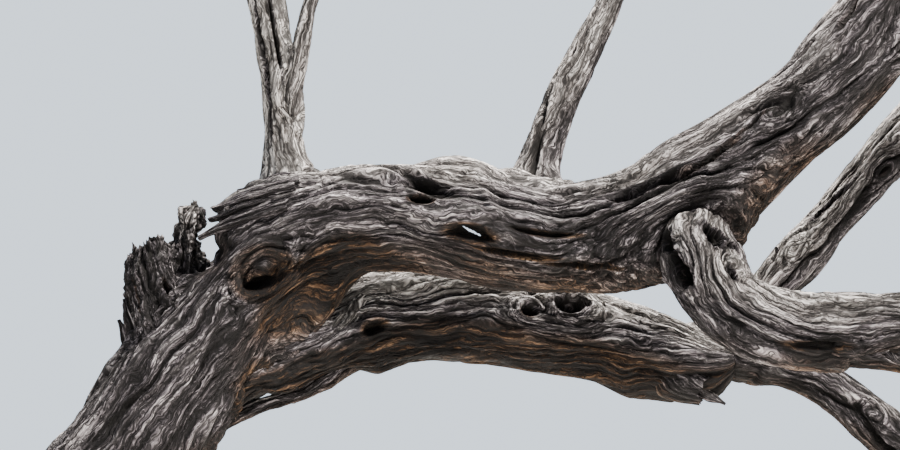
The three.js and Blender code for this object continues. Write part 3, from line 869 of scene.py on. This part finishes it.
for name, begin, end, rows, columns, starts, ends in (
    ("trunk", 0.0, CROTCH_SHARE, 300, 320, "cut", "tucked"),
    ("upper_bough", CROTCH_SHARE, RISE_SHARE, 250, 320, "tucked", "tucked"),
    ("rising_bough", RISE_SHARE, 1.0, 340, 290, "tucked", "tip"),
):
    lay_bark(
        name,
        Limb(MAIN_LINE, 1, begin, end),
        rows,
        columns,
        starts=starts,
        ends=ends,
        girth=STEM_GIRTH,
        partings=MAIN_PARTINGS,
        pits=MAIN_PITS,
        cuts=MAIN_CUTS,
        lumps=MAIN_LUMPS,
        plates=MAIN_PLATES,
    )

# The lower bough forks off the trunk behind the upper one and runs out level under it.
# At its far end it divides into the back bough, which climbs, and the drooping bough.
# Where a limb grows out of another, both flare into a smooth collar.
COLLAR_LEAST, COLLAR_MOST = 15, 70
COLLAR_SHARE = 1.1
COLLAR_ROUNDS = 5
COLLAR_REACH = 1.5
REACH_STEPS = 160
REACH_BATCH = 20000


def reach_to(points, limb):
    """How far each point lies outside the plain skin of another limb, in batches that fit in memory."""
    t = np.linspace(limb.start, limb.end, REACH_STEPS)
    centres = limb.centre(t)
    radii = limb.radius(t)
    found = np.empty(len(points))
    for first in range(0, len(points), REACH_BATCH):
        batch = slice(first, first + REACH_BATCH)
        gaps = np.linalg.norm(points[batch, None] - centres[None], axis=2) - radii[None]
        found[batch] = gaps.min(axis=1)
    return found


def raise_collar(limb, other, width):
    """Lifts the skin of a limb near another one, so that the two meet in a hollow curve.

    The lift is a quarter of the width where the skins cross, and fades to nothing at the width.
    """
    outside = reach_to(limb.points, other)
    close = np.nonzero(outside < width * COLLAR_REACH)[0]
    if not len(close):
        return
    shown = smooth(outside[close], -width / 4, 0)
    lift = np.zeros(len(close))
    for _ in range(COLLAR_ROUNDS):
        moved = limb.points[close] + limb.out[close] * lift[:, None]
        gap = np.clip(reach_to(moved, other), 0, width)
        wanted = shown * np.minimum((math.sqrt(width) - np.sqrt(gap)) ** 2, width / 4)
        lift = (lift + wanted) / 2
    raised = np.maximum(limb.collar[close], lift * limb.across[close] * (limb.relief_share[close] > 0))
    limb.height[close] += raised - limb.collar[close]
    limb.collar[close] = raised
    write_bark(limb)


def join_on(name, *others, most=COLLAR_MOST):
    """Blends a limb into those it grows out of."""
    limb = limbs[name]
    width = min(max(COLLAR_SHARE * limb.radii[0], COLLAR_LEAST), most)
    for other in others:
        raise_collar(limb, limbs[other], width)
        raise_collar(limbs[other], limb, width)


lay_bark(
    "lower_bough",
    Limb(
        [
            (660, 60, 1715, 128),
            (955, 120, 1850, 116),
            (1285, 180, 1942, 101),
            (1640, 210, 1912, 96),
            (1855, 215, 1862, 102),
            (2060, 205, 1872, 76),
        ],
        2,
    ),
    rows=270,
    columns=230,
    ends="domed",
    dome=95,
    twist=-0.0004,
    partings=[(1462, 136, 70), (1464, -166, 60), (1020, 38, 50), (922, 17, 34)],
    pits=[
        (1020, 38, 46, 34, 64, 0),
        (922, 17, 28, 20, 30, 0),
        (512, -3, 34, 20, 34, 0),
    ],
    cuts=[(150, -104, 170, 165, 72, 0), (372, -96, 170, 130, 36, 0)],
    lumps=[
        (475, 92, 125, 75, 34, 0),
        (640, 96, 230, 78, 44, 0),
        (1020, 70, 60, 20, 12, 0),
        (1300, 0, 60, 40, 14, 0),
    ],
    # Painted light makes its top far paler than the other limbs, where the lamps barely reach past the
    # upper bough, and painted shade makes its front brown and dark.
    pale=-0.25,
    top_bleach_and_light=2.4,
)
join_on("lower_bough", "trunk", "upper_bough", most=32)

lay_bark(
    "back_bough",
    Limb(
        [
            (2040, 210, 1870, 82),
            (2165, 260, 2035, 66),
            (2305, 310, 2200, 62),
            (2500, 380, 2420, 68),
            (2800, 520, 2740, 50),
            (3020, 740, 3100, 27),
        ],
        4,
    ),
    rows=300,
    columns=150,
    partings=[(1055, -99, 45), (1052, 134, 45), (300, 20, 30), (620, -24, 30)],
    pits=[(620, -24, 24, 14, 26, 0), (455, 30, 70, 9, 26, -4)],
    pale=0.7,
)
join_on("back_bough", "lower_bough")

lay_bark(
    "drooping_bough",
    Limb(
        [
            (2040, 205, 1862, 66),
            (2160, 200, 1818, 50),
            (2260, 190, 1785, 57),
            (2435, 170, 1650, 60),
            (2700, 200, 1400, 48),
            (2990, 260, 1270, 36),
            (3300, 330, 1360, 23),
        ],
        5,
    ),
    rows=280,
    columns=130,
    partings=[(927, -47, 40), (400, 10, 26)],
)
join_on("drooping_bough", "lower_bough", "back_bough")

# The twisted bough leaves the rising bough downwards, curls over and swings out towards the viewer.
# Its base is a knot of ropes and rotted holes, where the grain turns the sharpest corner.
TWISTED_LINE = [
    (1945, -40, 2170, 116),
    (1950, -100, 2085, 106),
    (1975, -140, 2000, 96),
    (2040, -175, 1925, 88),
    (2180, -205, 1880, 77),
    (2330, -230, 1882, 73),
    (2490, -260, 1930, 65),
    (2700, -330, 2090, 52),
    (2880, -450, 2400, 30),
]
CURL_SHARE = 5.4 / (len(TWISTED_LINE) - 1)
TWISTED_GIRTH = 85
TWISTED_PARTINGS = [(674, -89, 50), (203, 52, 34), (172, -36, 34)]
TWISTED_PITS = [
    (104, -50, 25, 20, 46, 0),
    (128, 22, 44, 20, 38, 40),
    (172, -36, 56, 17, 46, 21),
    (198, -30, 25, 22, 50, 0),
    (128, 48, 62, 12, 30, 71),
    (243, 38, 26, 12, 28, 0),
    (520, -30, 70, 11, 22, 0),
]
TWISTED_LUMPS = [(203, 52, 26, 20, 22, 0), (150, 0, 60, 16, 14, 30)]

for name, begin, end, rows, columns, starts, ends in (
    ("twisted_bough", 0.0, CURL_SHARE, 220, 210, "domed", "tucked"),
    ("curling_bough", CURL_SHARE, 1.0, 160, 150, "tucked", "tip"),
):
    lay_bark(
        name,
        Limb(TWISTED_LINE, 3, begin, end),
        rows,
        columns,
        starts=starts,
        ends=ends,
        dome=190,
        girth=TWISTED_GIRTH,
        twist=0.002,
        partings=TWISTED_PARTINGS,
        pits=TWISTED_PITS,
        lumps=TWISTED_LUMPS,
        # Painted light pales its top and painted shade browns its underside.
        pale=0.45,
        top_bleach_and_light=1.3,
    )
join_on("twisted_bough", "upper_bough", "rising_bough")

# The uprights: a pair of stems and one bough that stand on top of the upper bough.
# They are thin, dry hardwood, bleached the palest of all, as they stand in the sun.
lay_bark(
    "left_stem",
    Limb(
        [
            (925, 10, 2250, 68),
            (920, 20, 2425, 50),
            (900, 25, 2555, 46),
            (870, 35, 2735, 44),
            (800, 60, 3080, 33),
            (790, 110, 3400, 22),
        ],
        6,
    ),
    rows=230,
    columns=120,
    partings=[(233, -41, 34), (756, 14, 32), (644, -136, 32)],
    pits=[(300, 40, 190, 8, 24, 0), (400, -12, 130, 6, 18, 0)],
    pale=1.6,
)
join_on("left_stem", "upper_bough")
lay_bark(
    "right_stem",
    Limb([(932, -10, 2420, 32), (965, -20, 2610, 24), (985, -20, 2725, 19), (1060, -10, 3000, 13)], 7),
    rows=130,
    columns=70,
    starts="domed",
    dome=150,
    pale=1.0,
)
join_on("right_stem", "left_stem")
lay_bark(
    "upright_bough",
    Limb(
        [
            (1525, 55, 2190, 66),
            (1575, 80, 2385, 49),
            (1740, 140, 2750, 42),
            (1880, 220, 3130, 32),
            (1960, 320, 3500, 21),
        ],
        8,
    ),
    rows=240,
    columns=110,
    partings=[(941, 50, 30), (786, -9, 30)],
    pale=0.8,
)
join_on("upright_bough", "upper_bough")

# The outer boughs and forks carry the crown, past the edge of the photograph.
# They are made of the same bare wood. Each has its seed, the limbs that it grows out of, and its line.
OUTER_LIMBS = [
    (
        "outer_bough",
        9,
        ["rising_bough"],
        [(3060, 80, 3260, 62), (3250, 30, 3380, 50), (3560, -90, 3620, 40), (3860, -220, 3900, 26)],
    ),
    (
        "front_bough",
        10,
        ["rising_bough"],
        [(2660, 70, 2840, 56), (2760, -110, 2960, 44), (2900, -380, 3180, 34), (3050, -640, 3460, 22)],
    ),
    (
        "high_bough",
        11,
        ["rising_bough"],
        [(2880, 80, 3060, 56), (2870, 150, 3260, 44), (2780, 260, 3560, 34), (2640, 350, 3880, 23)],
    ),
    (
        "back_fork",
        12,
        ["back_bough"],
        [(2600, 430, 2530, 46), (2780, 480, 2610, 36), (3060, 570, 2780, 28), (3380, 670, 3010, 19)],
    ),
    (
        "low_fork",
        13,
        ["twisted_bough", "curling_bough"],
        [(2290, -225, 1865, 60), (2460, -250, 1805, 43), (2800, -380, 1750, 33), (3130, -550, 1850, 22)],
    ),
    (
        "stem_side",
        14,
        ["left_stem"],
        [(820, 50, 2960, 30), (740, -20, 3070, 24), (630, -140, 3250, 15)],
    ),
    (
        "upright_fork",
        15,
        ["upright_bough"],
        [(1845, 200, 3040, 30), (1780, 120, 3180, 24), (1690, 10, 3370, 15)],
    ),
    (
        "stem_back",
        22,
        ["left_stem"],
        [(845, 42, 2840, 32), (880, 130, 2960, 24), (960, 290, 3190, 15)],
    ),
    (
        "upright_side",
        23,
        ["upright_bough"],
        [(1785, 165, 2870, 30), (1870, 90, 3000, 24), (2040, 0, 3230, 15)],
    ),
    (
        "back_side",
        24,
        ["back_bough", "back_fork"],
        [(2680, 465, 2620, 42), (2670, 600, 2740, 32), (2590, 850, 3020, 19)],
    ),
    (
        "outer_side",
        25,
        ["outer_bough"],
        [(3460, -50, 3540, 34), (3640, 60, 3600, 27), (3930, 230, 3760, 16)],
    ),
]

# The size of one cell of their sheets.
ROW_LENGTH = 9
COLUMN_WIDTH = 3.6

for name, seed, parents, line in OUTER_LIMBS:
    limb = Limb(line, seed)
    rows = int(limb.lengths[-1] / ROW_LENGTH)
    columns = int(2 * math.pi * limb.radii[0] / COLUMN_WIDTH)
    lay_bark(name, limb, rows, columns)
    join_on(name, *parents)

# The broken pieces: stubs and a shoulder where limbs have snapped off, and a strip under the fork.
# A snapped end is a ring of splinters round a rotted cup, with fewer of them on a thin piece.
THIN_SIDES = 7

lay_bark(
    "snapped_shoulder",
    Limb([(1040, -5, 2180, 114), (930, -10, 2185, 104), (850, -15, 2170, 82), (785, -20, 2152, 52)], 16),
    rows=100,
    columns=180,
    ends="broken",
    jag=40,
    cup=45,
    girth=STEM_GIRTH,
)
join_on("snapped_shoulder", "trunk", "upper_bough", "left_stem", most=16)
lay_bark(
    "hollow_stub",
    Limb([(690, -10, 1830, 122), (630, 0, 1925, 104), (594, 5, 2005, 84), (582, 5, 2060, 66)], 17),
    rows=120,
    columns=200,
    ends="broken",
    jag=60,
    cup=110,
    pits=[
        (120, 120, 40, 9, 40, 0),
        (165, 70, 40, 8, 34, 0),
        (210, 100, 34, 8, 34, 10),
        (190, 30, 44, 8, 30, 0),
        (150, -20, 50, 9, 34, 0),
    ],
    crumbled=[(60, 7), (24, 3)],
    pale=0.4,
)
join_on("hollow_stub", "trunk", "upper_bough", "snapped_shoulder", most=16)
lay_bark(
    "gnarled_knob",
    Limb(
        [
            (700, -5, 1950, 60),
            (684, 0, 2050, 50),
            (676, 5, 2120, 32),
            (688, 5, 2172, 41),
            (708, 5, 2202, 26),
        ],
        18,
    ),
    rows=110,
    columns=120,
    ends="broken",
    sides=THIN_SIDES,
    jag=12,
    cup=10,
    crumbled=[(40, 9), (17, 5)],
    pale=0.4,
)
join_on("gnarled_knob", "trunk", "upper_bough", most=12)
lay_bark(
    "snapped_stub",
    Limb([(1850, 195, 1835, 84), (1915, 185, 1798, 62), (1965, 178, 1772, 46)], 19),
    rows=70,
    columns=120,
    starts="domed",
    ends="broken",
    dome=110,
    sides=THIN_SIDES,
    jag=30,
    cup=20,
)
join_on("snapped_stub", "lower_bough")
lay_bark(
    "underside_strip",
    Limb(
        [
            (700, 30, 1640, 40),
            (795, 45, 1684, 28),
            (895, 75, 1722, 20),
            (985, 95, 1758, 23),
            (1090, 130, 1812, 28),
        ],
        20,
    ),
    rows=90,
    columns=70,
)
join_on("underside_strip", "trunk", "lower_bough", most=12)
lay_bark(
    "snapped_prong",
    Limb([(2720, 205, 1395, 42), (2820, 150, 1240, 28), (2960, 40, 1060, 21), (3060, -20, 930, 14)], 21),
    rows=90,
    columns=70,
    ends="broken",
    sides=THIN_SIDES,
    jag=45,
    cup=8,
)
join_on("snapped_prong", "drooping_bough")

# Splinters and plates: flat slivers left standing where the wood tore, still fixed at their roots.
# Overlapping plates make the ragged end of the upper bough, slivers fan out in the crotch under it,
# and thin spikes stand round the rotted stub. Each runs from its root to its point.
PLATES = [
    [(930, -98, 2195, 56), (820, -100, 2162, 46), (714, -62, 2121, 20)],
    [(940, -84, 2222, 54), (835, -88, 2196, 44), (736, -52, 2163, 18)],
    [(950, -74, 2244, 52), (850, -76, 2222, 42), (748, -44, 2189, 18)],
    [(960, -64, 2262, 50), (865, -66, 2240, 40), (756, -34, 2206, 16)],
    [(985, -60, 2262, 44), (900, -54, 2262, 36), (810, -26, 2234, 18)],
    [(1000, -40, 2262, 40), (930, -46, 2278, 32), (842, -18, 2262, 16)],
    [(1005, -20, 2270, 30), (945, -24, 2300, 26), (866, -4, 2312, 16)],
]
SLIVERS = [
    [
        (1140, 134, 2004, 6),
        (1113, 74, 1990, 9),
        (1098, 40, 1952, 9),
        (1072, 16, 1912, 7),
        (1052, 12, 1888, 2),
    ],
    [
        (1125, 104, 2006, 5),
        (1088, 50, 1965, 8),
        (1060, 16, 1930, 8),
        (1038, 6, 1900, 5),
        (1026, 6, 1882, 2),
    ],
    [
        (1130, 118, 2004, 5),
        (1102, 62, 1980, 7),
        (1084, 32, 1945, 7),
        (1062, 14, 1908, 5),
        (1044, 12, 1880, 2),
    ],
    [
        (1150, 124, 1998, 5),
        (1122, 68, 1978, 7),
        (1106, 44, 1944, 7),
        (1086, 26, 1908, 4),
        (1074, 24, 1890, 2),
    ],
    [(1094, 62, 1954, 6), (1112, 38, 1947, 6), (1130, 34, 1951, 2)],
]
SPIKES = [
    [(575, 0, 1880, 30), (552, 0, 1960, 20), (535, 10, 2035, 5)],
    [(566, -30, 1830, 30), (545, -30, 1915, 20), (524, -20, 1975, 5)],
    [(590, -50, 1900, 26), (576, -50, 1990, 17), (566, -44, 2068, 4)],
    [(560, 10, 1800, 28), (532, 10, 1870, 18), (512, 10, 1925, 5)],
    [(625, -60, 1930, 26), (614, -60, 2010, 17), (606, -54, 2080, 4)],
    [(565, 50, 1900, 26), (552, 50, 1985, 16), (540, 50, 2056, 4)],
    [(2190, 262, 2075, 22), (2176, 250, 2105, 11), (2168, 244, 2130, 3)],
    [(1950, 150, 1770, 26), (1985, 140, 1745, 14), (2030, 132, 1722, 3)],
    [(2350, -270, 1850, 22), (2400, -290, 1815, 11), (2424, -296, 1788, 3)],
]
SPLINTER_ROWS, SPLINTER_COLUMNS = 60, 56
SPLINTER_SEED = 60

for kind, lines, flat, pale in (
    ("plate", PLATES, (0.9, 0.36), 0.0),
    ("sliver", SLIVERS, (0.6, 1.0), 1.3),
    ("spike", SPIKES, (0.5, 1.0), 0.0),
):
    for i, line in enumerate(lines):
        limb = Limb(line, SPLINTER_SEED + i)
        lay_bark(
            f"{kind}_{i + 1}",
            limb,
            SPLINTER_ROWS,
            SPLINTER_COLUMNS,
            flat=flat,
            pale=pale,
            splinter=True,
        )

# The slit: a crack that has opened right through the upper bough, so that the sky shows in it.
# Its front and back edges are cut out of the bough and joined by the wall of the crack.
SLIT_ALONG = 2982
SLIT_FRONT, SLIT_BACK = math.radians(-14), math.radians(182)
SLIT_LONG, SLIT_WIDE, SLIT_SLANT = 30, 7, 0.35


def cut_slit(limb):
    """Opens the two ends of the slit and walls it."""
    column = np.round((limb.angle + math.pi) / (2 * math.pi) * limb.columns)
    opened = np.zeros(len(column), bool)
    for side, slant in ((SLIT_FRONT, -SLIT_SLANT), (SLIT_BACK, SLIT_SLANT)):
        middle = round((side + math.pi) / (2 * math.pi) * limb.columns)
        across = (column - middle + limb.columns / 2) % limb.columns - limb.columns / 2
        across = across * 2 * math.pi * STEM_GIRTH / limb.columns
        along = limb.run - SLIT_ALONG
        opened |= np.hypot(along / SLIT_LONG, (across - slant * along) / SLIT_WIDE) < 1
    mesh = limb.sheet.data
    for part in (mesh.vertices, mesh.edges):
        part.foreach_set("select", np.zeros(len(part), bool))
    mesh.polygons.foreach_set("select", [all(opened[i] for i in face.vertices) for face in mesh.polygons])
    deselect_all()
    limb.sheet.select_set(True)
    bpy.context.view_layer.objects.active = limb.sheet
    bpy.ops.object.mode_set(mode="EDIT")
    bpy.ops.mesh.select_mode(type="FACE")
    bpy.ops.mesh.delete(type="FACE")
    bpy.ops.mesh.select_mode(type="EDGE")
    bpy.ops.mesh.select_non_manifold()
    bpy.ops.mesh.bridge_edge_loops()
    bpy.ops.mesh.select_mode(type="VERT")
    bpy.ops.object.mode_set(mode="OBJECT")
    face_outwards(limb.sheet)


cut_slit(limbs["upper_bough"])

# The bare masses: twigs that branch by a seeded rule from one stem on the tip of each limb.
# Dry grey shoots, round and thin, swept as tubes of a few sides.
# The first levels grow as the solids' twigs do, and the finer ones only here.
FACE_GAP = 0.3
STEM_SHARE = 0.92

# The steps of a twig, and the twigs on it, by its level: the stem is level 0.
TWIG_STEPS = (3, 2, 1, 2, 2)
TWIGS_ON = (4, 2)
TWIG_LEVELS = 2
FINEST_LEVEL = 4
FINE_TWIGS_ON = (7, 5, 5, 4)
FINE_SEED = 200
BEND_STEPS, FINE_BEND_STEPS = 4, 3

# How much smaller each next level is, and which way its twigs turn.
TWIG_SHORTER = 0.7
TWIG_THINNER = 0.5
THINNEST = 1.1
TWIG_TAPER = 0.45
TWIG_WOBBLE = 0.42
TWIG_LEAST_ANGLE = 0.5
TWIG_ANGLE_SPAN = 0.55
TWIGS_FROM, TWIGS_SPAN = 0.3, 0.66
GOLDEN_ANGLE = 2.39996
LOW_TWIG_LONGER, HIGH_TWIG_SHORTER = 1.15, 0.5

# The space of a mass: where its middle is, and how far its twigs keep from the next mass and from limbs.
MIDDLE_SHARE = 0.6
SPACE_MARGIN = 12
LIMB_CLEARANCE = 14
LIMB_PARTS, TIP_PARTS = 24, 2

# The limb that carries each mass, how far its twigs reach, and its seed.
MASSES = {
    "twigs_top": ("rising_bough", 760, 51),
    "twigs_outer": ("outer_bough", 700, 32),
    "twigs_outer_side": ("outer_side", 560, 33),
    "twigs_front": ("front_bough", 680, 34),
    "twigs_high": ("high_bough", 680, 35),
    "twigs_back": ("back_bough", 720, 36),
    "twigs_back_fork": ("back_fork", 620, 37),
    "twigs_back_side": ("back_side", 600, 38),
    "twigs_curling": ("curling_bough", 720, 39),
    "twigs_low_fork": ("low_fork", 600, 40),
    "twigs_drooping": ("drooping_bough", 620, 41),
    "twigs_left_stem": ("left_stem", 620, 42),
    "twigs_stem_side": ("stem_side", 480, 43),
    "twigs_stem_back": ("stem_back", 480, 44),
    "twigs_right_stem": ("right_stem", 520, 45),
    "twigs_upright": ("upright_bough", 640, 46),
    "twigs_upright_fork": ("upright_fork", 520, 47),
    "twigs_upright_side": ("upright_side", 500, 48),
}

# The masses whose twigs are joined into one piece.
TWIG_GROUPS = {
    "outer_twigs": ["twigs_top", "twigs_outer", "twigs_outer_side"],
    "high_twigs": ["twigs_front", "twigs_high"],
    "back_twigs": ["twigs_back", "twigs_back_fork", "twigs_back_side"],
    "low_twigs": ["twigs_curling", "twigs_low_fork", "twigs_drooping"],
    "stem_twigs": ["twigs_left_stem", "twigs_stem_side", "twigs_stem_back", "twigs_right_stem"],
    "upright_twigs": ["twigs_upright", "twigs_upright_fork", "twigs_upright_side"],
}


def tip_of(name):
    """Where the tip of a limb is, which way it points and how thick it is."""
    limb = limbs[name]
    tip = np.array([1.0])
    return limb.centre(tip)[0], limb.axes(tip)[0][0], limb.radius(tip)[0]


def middle_of(mass):
    """The middle of the round space that a mass of twigs keeps to."""
    on, reach, _ = MASSES[mass]
    point, heading, _ = tip_of(on)
    return point + heading * reach * MIDDLE_SHARE


MIDDLES = {mass: middle_of(mass) for mass in MASSES}


def limb_points():
    """Points along every limb, with their radii, that twigs keep clear of."""
    found = []
    for name, limb in limbs.items():
        t = limb.start + (limb.end - limb.start) * np.arange(LIMB_PARTS + 1) / LIMB_PARTS
        for i, (centre, radius) in enumerate(zip(limb.centre(t), limb.radius(t))):
            found.append((name, i >= LIMB_PARTS - TIP_PARTS, centre, radius))
    return found


BOX_LOW, BOX_HIGH = (np.array(corner) / MM for corner in cad_box)
LIMB_POINTS = limb_points()
LIMB_CENTRES = np.array([centre for _, _, centre, _ in LIMB_POINTS])
LIMB_RADII = np.array([radius for _, _, _, radius in LIMB_POINTS])
LIMB_TIPS = {
    on: np.array([name == on and at_tip for name, at_tip, _, _ in LIMB_POINTS])
    for on, _, _ in MASSES.values()
}


def is_free(mass, point, radius):
    """True where a point lies in the mass's own space and clear of every limb."""
    on, reach, _ = MASSES[mass]
    own = np.linalg.norm(point - MIDDLES[mass])
    if own > reach:
        return False
    for other, middle in MIDDLES.items():
        if other != mass and np.linalg.norm(point - middle) < own + 2 * (SPACE_MARGIN + radius):
            return False
    if (point - radius < BOX_LOW).any() or (point + radius > BOX_HIGH).any():
        return False
    gaps = np.linalg.norm(LIMB_CENTRES - point, axis=1)
    return bool((LIMB_TIPS[on] | (gaps > LIMB_RADII + radius + LIMB_CLEARANCE)).all())


def turned(heading, angle, around):
    """A heading turned by an angle towards a direction round it."""
    helper = np.array([0, 0, 1.0]) if abs(heading[2]) < 0.9 else np.array([1.0, 0, 0])
    a = np.cross(helper, heading)
    a /= np.linalg.norm(a)
    b = np.cross(heading, a)
    way = heading * math.cos(angle) + (a * math.cos(around) + b * math.sin(around)) * math.sin(angle)
    return way / np.linalg.norm(way)


def grow_twig(mass, start, heading, length, radius, level, random, fine, found):
    """Grows a twig and the twigs on it, and adds each to found."""
    steps = TWIG_STEPS[level]
    points = [start]
    way = heading
    for step in range(steps):
        if step:
            way = turned(way, TWIG_WOBBLE * random(), 2 * math.pi * random())
        points.append(points[step] + way * length / steps)
    if level and not all(is_free(mass, point, radius) for point in points[1:]):
        return
    found.append((points, radius, level))
    if level < TWIG_LEVELS:
        grow_on(mass, points, length, radius, level, TWIGS_ON[level], level + 1, random, fine, found)
    if level < FINEST_LEVEL:
        finer = max(level, TWIG_LEVELS) + 1
        grow_on(mass, points, length, radius, level, FINE_TWIGS_ON[level], finer, fine, fine, found)


def grow_on(mass, points, length, radius, level, count, child_level, random, fine, found):
    """Grows a row of twigs along a twig, each turned by the golden angle from the last."""
    steps = len(points) - 1
    smaller = child_level - level
    for i in range(count):
        share = TWIGS_FROM + TWIGS_SPAN * (i + random()) / count
        joint = int(share * steps)
        along = points[joint + 1] - points[joint]
        root = points[joint] + along * (share * steps - joint)
        along = along / np.linalg.norm(along)
        angle = TWIG_LEAST_ANGLE + TWIG_ANGLE_SPAN * random()
        way = turned(along, angle, GOLDEN_ANGLE * i + random())
        reach = length * (TWIG_SHORTER * (LOW_TWIG_LONGER - HIGH_TWIG_SHORTER * share)) ** smaller
        thick = max(radius * TWIG_THINNER**smaller, THINNEST)
        grow_twig(mass, root, way, reach, thick, child_level, random, fine, found)


def add_spline(curve, points, radius, level):
    """One twig as a bent line, that a round section is later swept along."""
    spline = curve.splines.new("NURBS" if len(points) > 2 else "POLY")
    spline.points.add(len(points) - 1)
    for i, (place, control) in enumerate(zip(points, spline.points)):
        control.co = (*(place * MM), 1)
        control.radius = radius * MM * (1 - (1 - TWIG_TAPER) * i / (len(points) - 1))
    spline.order_u = 3
    spline.use_endpoint_u = True
    spline.resolution_u = BEND_STEPS if level < TWIG_LEVELS else FINE_BEND_STEPS


# The twigs' colours, from the bark's cracks to its ridges, and how wide and how deep the cracks are.
TWIG_BARK = [(0.25, "#3a312b"), (0.45, "#70665e"), (0.62, "#9a9087"), (0.8, "#c0b8af")]
TWIG_CRACK_SIZE, TWIG_CRACK_DEPTH = 9, 2


def bare_twig():
    """Dry twig bark: thin, grey-brown and dull, finely cracked, a little paler on its ridges."""
    material, tree, shader = start_material("bare_twig", roughness=0.88, specular=0.25)
    place = add(tree, "ShaderNodeTexCoord", {}).outputs["Object"]
    fine = add(
        tree,
        "ShaderNodeTexNoise",
        {"Vector": place, "Scale": 1 / (TWIG_CRACK_SIZE * MM), "Detail": 4, "Roughness": 0.6},
    ).outputs["Fac"]
    colour = add(tree, "ShaderNodeValToRGB", {"Fac": fine})
    set_stops(colour, TWIG_BARK)
    tree.links.new(colour.outputs["Color"], shader.inputs["Base Color"])
    depth = TWIG_CRACK_DEPTH * MM
    bump = add(tree, "ShaderNodeBump", {"Height": fine, "Strength": 0.8, "Distance": depth})
    tree.links.new(bump.outputs["Normal"], shader.inputs["Normal"])
    return material


BARE_TWIG = bare_twig()


def sweep_twigs(name, masses):
    """All the twigs of a group of masses as one mesh."""
    curve = bpy.data.curves.new(name, "CURVE")
    curve.dimensions = "3D"
    curve.bevel_depth = 1.0
    curve.bevel_resolution = 1
    curve.use_fill_caps = True
    for mass in masses:
        on, reach, seed = MASSES[mass]
        point, heading, radius = tip_of(on)
        found = []
        random, fine = seeded(seed), seeded(seed + FINE_SEED)
        root = point + heading * FACE_GAP
        grow_twig(mass, root, heading, reach, radius * STEM_SHARE, 0, random, fine, found)
        for points, thick, level in found:
            add_spline(curve, points, thick, level)
    twigs = bpy.data.objects.new(name, curve)
    bpy.context.collection.objects.link(twigs)
    deselect_all()
    twigs.select_set(True)
    bpy.context.view_layer.objects.active = twigs
    bpy.ops.object.convert(target="MESH")
    twigs = bpy.context.object
    bpy.ops.object.shade_smooth()
    twigs.data.materials.append(BARE_TWIG)
    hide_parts(*masses)
    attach(twigs, "root")


for name, masses in TWIG_GROUPS.items():
    sweep_twigs(name, masses)

# The studio: a plain pale floor, a pale sky and three soft lamps. The key lamp is high in front on the
# right, the top lamp high behind the tree, and a weak one fills the shadows from the left.
FLOOR_SIZE = 40
SKY_LIGHT = 0.3
SKY_SEEN = 1.9
KEY_PLACE = Vector((7.0, -5.0, 10.5))
TOP_PLACE = Vector((2.6, 3.0, 11.5))
FILL_PLACE = Vector((-7.0, -8.0, 4.0))
SUN_TINT, SKY_TINT = "#fff8f0", "#e8f0ff"


def soft_light(name, place, size, power, tint):
    """A large square lamp that faces the boughs."""
    bpy.ops.object.light_add(type="AREA", location=place)
    lamp = bpy.context.object
    lamp.name = name
    lamp.rotation_euler = (VIEW_TARGET - place).to_track_quat("-Z", "Y").to_euler()
    lamp.data.size = size
    lamp.data.energy = power
    lamp.data.color = linear(tint)[:3]


soft_light("key_light", KEY_PLACE, size=1.6, power=3300, tint=SUN_TINT)
soft_light("top_light", TOP_PLACE, size=1.6, power=5200, tint=SUN_TINT)
soft_light("fill_light", FILL_PLACE, size=5.0, power=150, tint=SKY_TINT)

deselect_all()
bpy.ops.mesh.primitive_plane_add(size=FLOOR_SIZE)
floor = bpy.context.object
floor.name = "floor"
painted, _, shader = start_material("pale_floor", roughness=0.8, specular=0.5)
shader.inputs["Base Color"].default_value = linear("#d9d7d2")
floor.data.materials.append(painted)

world = bpy.data.worlds.new("pale_sky")
bpy.context.scene.world = world
world.use_nodes = True
sky = world.node_tree.nodes["Background"]
sky.inputs["Color"].default_value = linear("#d3dfec")
seen = add(world.node_tree, "ShaderNodeLightPath", {}).outputs["Is Camera Ray"]
strength = add(
    world.node_tree, "ShaderNodeMapRange", {"Value": seen, "To Min": SKY_LIGHT, "To Max": SKY_SEEN}
).outputs["Result"]
world.node_tree.links.new(strength, sky.inputs["Strength"])
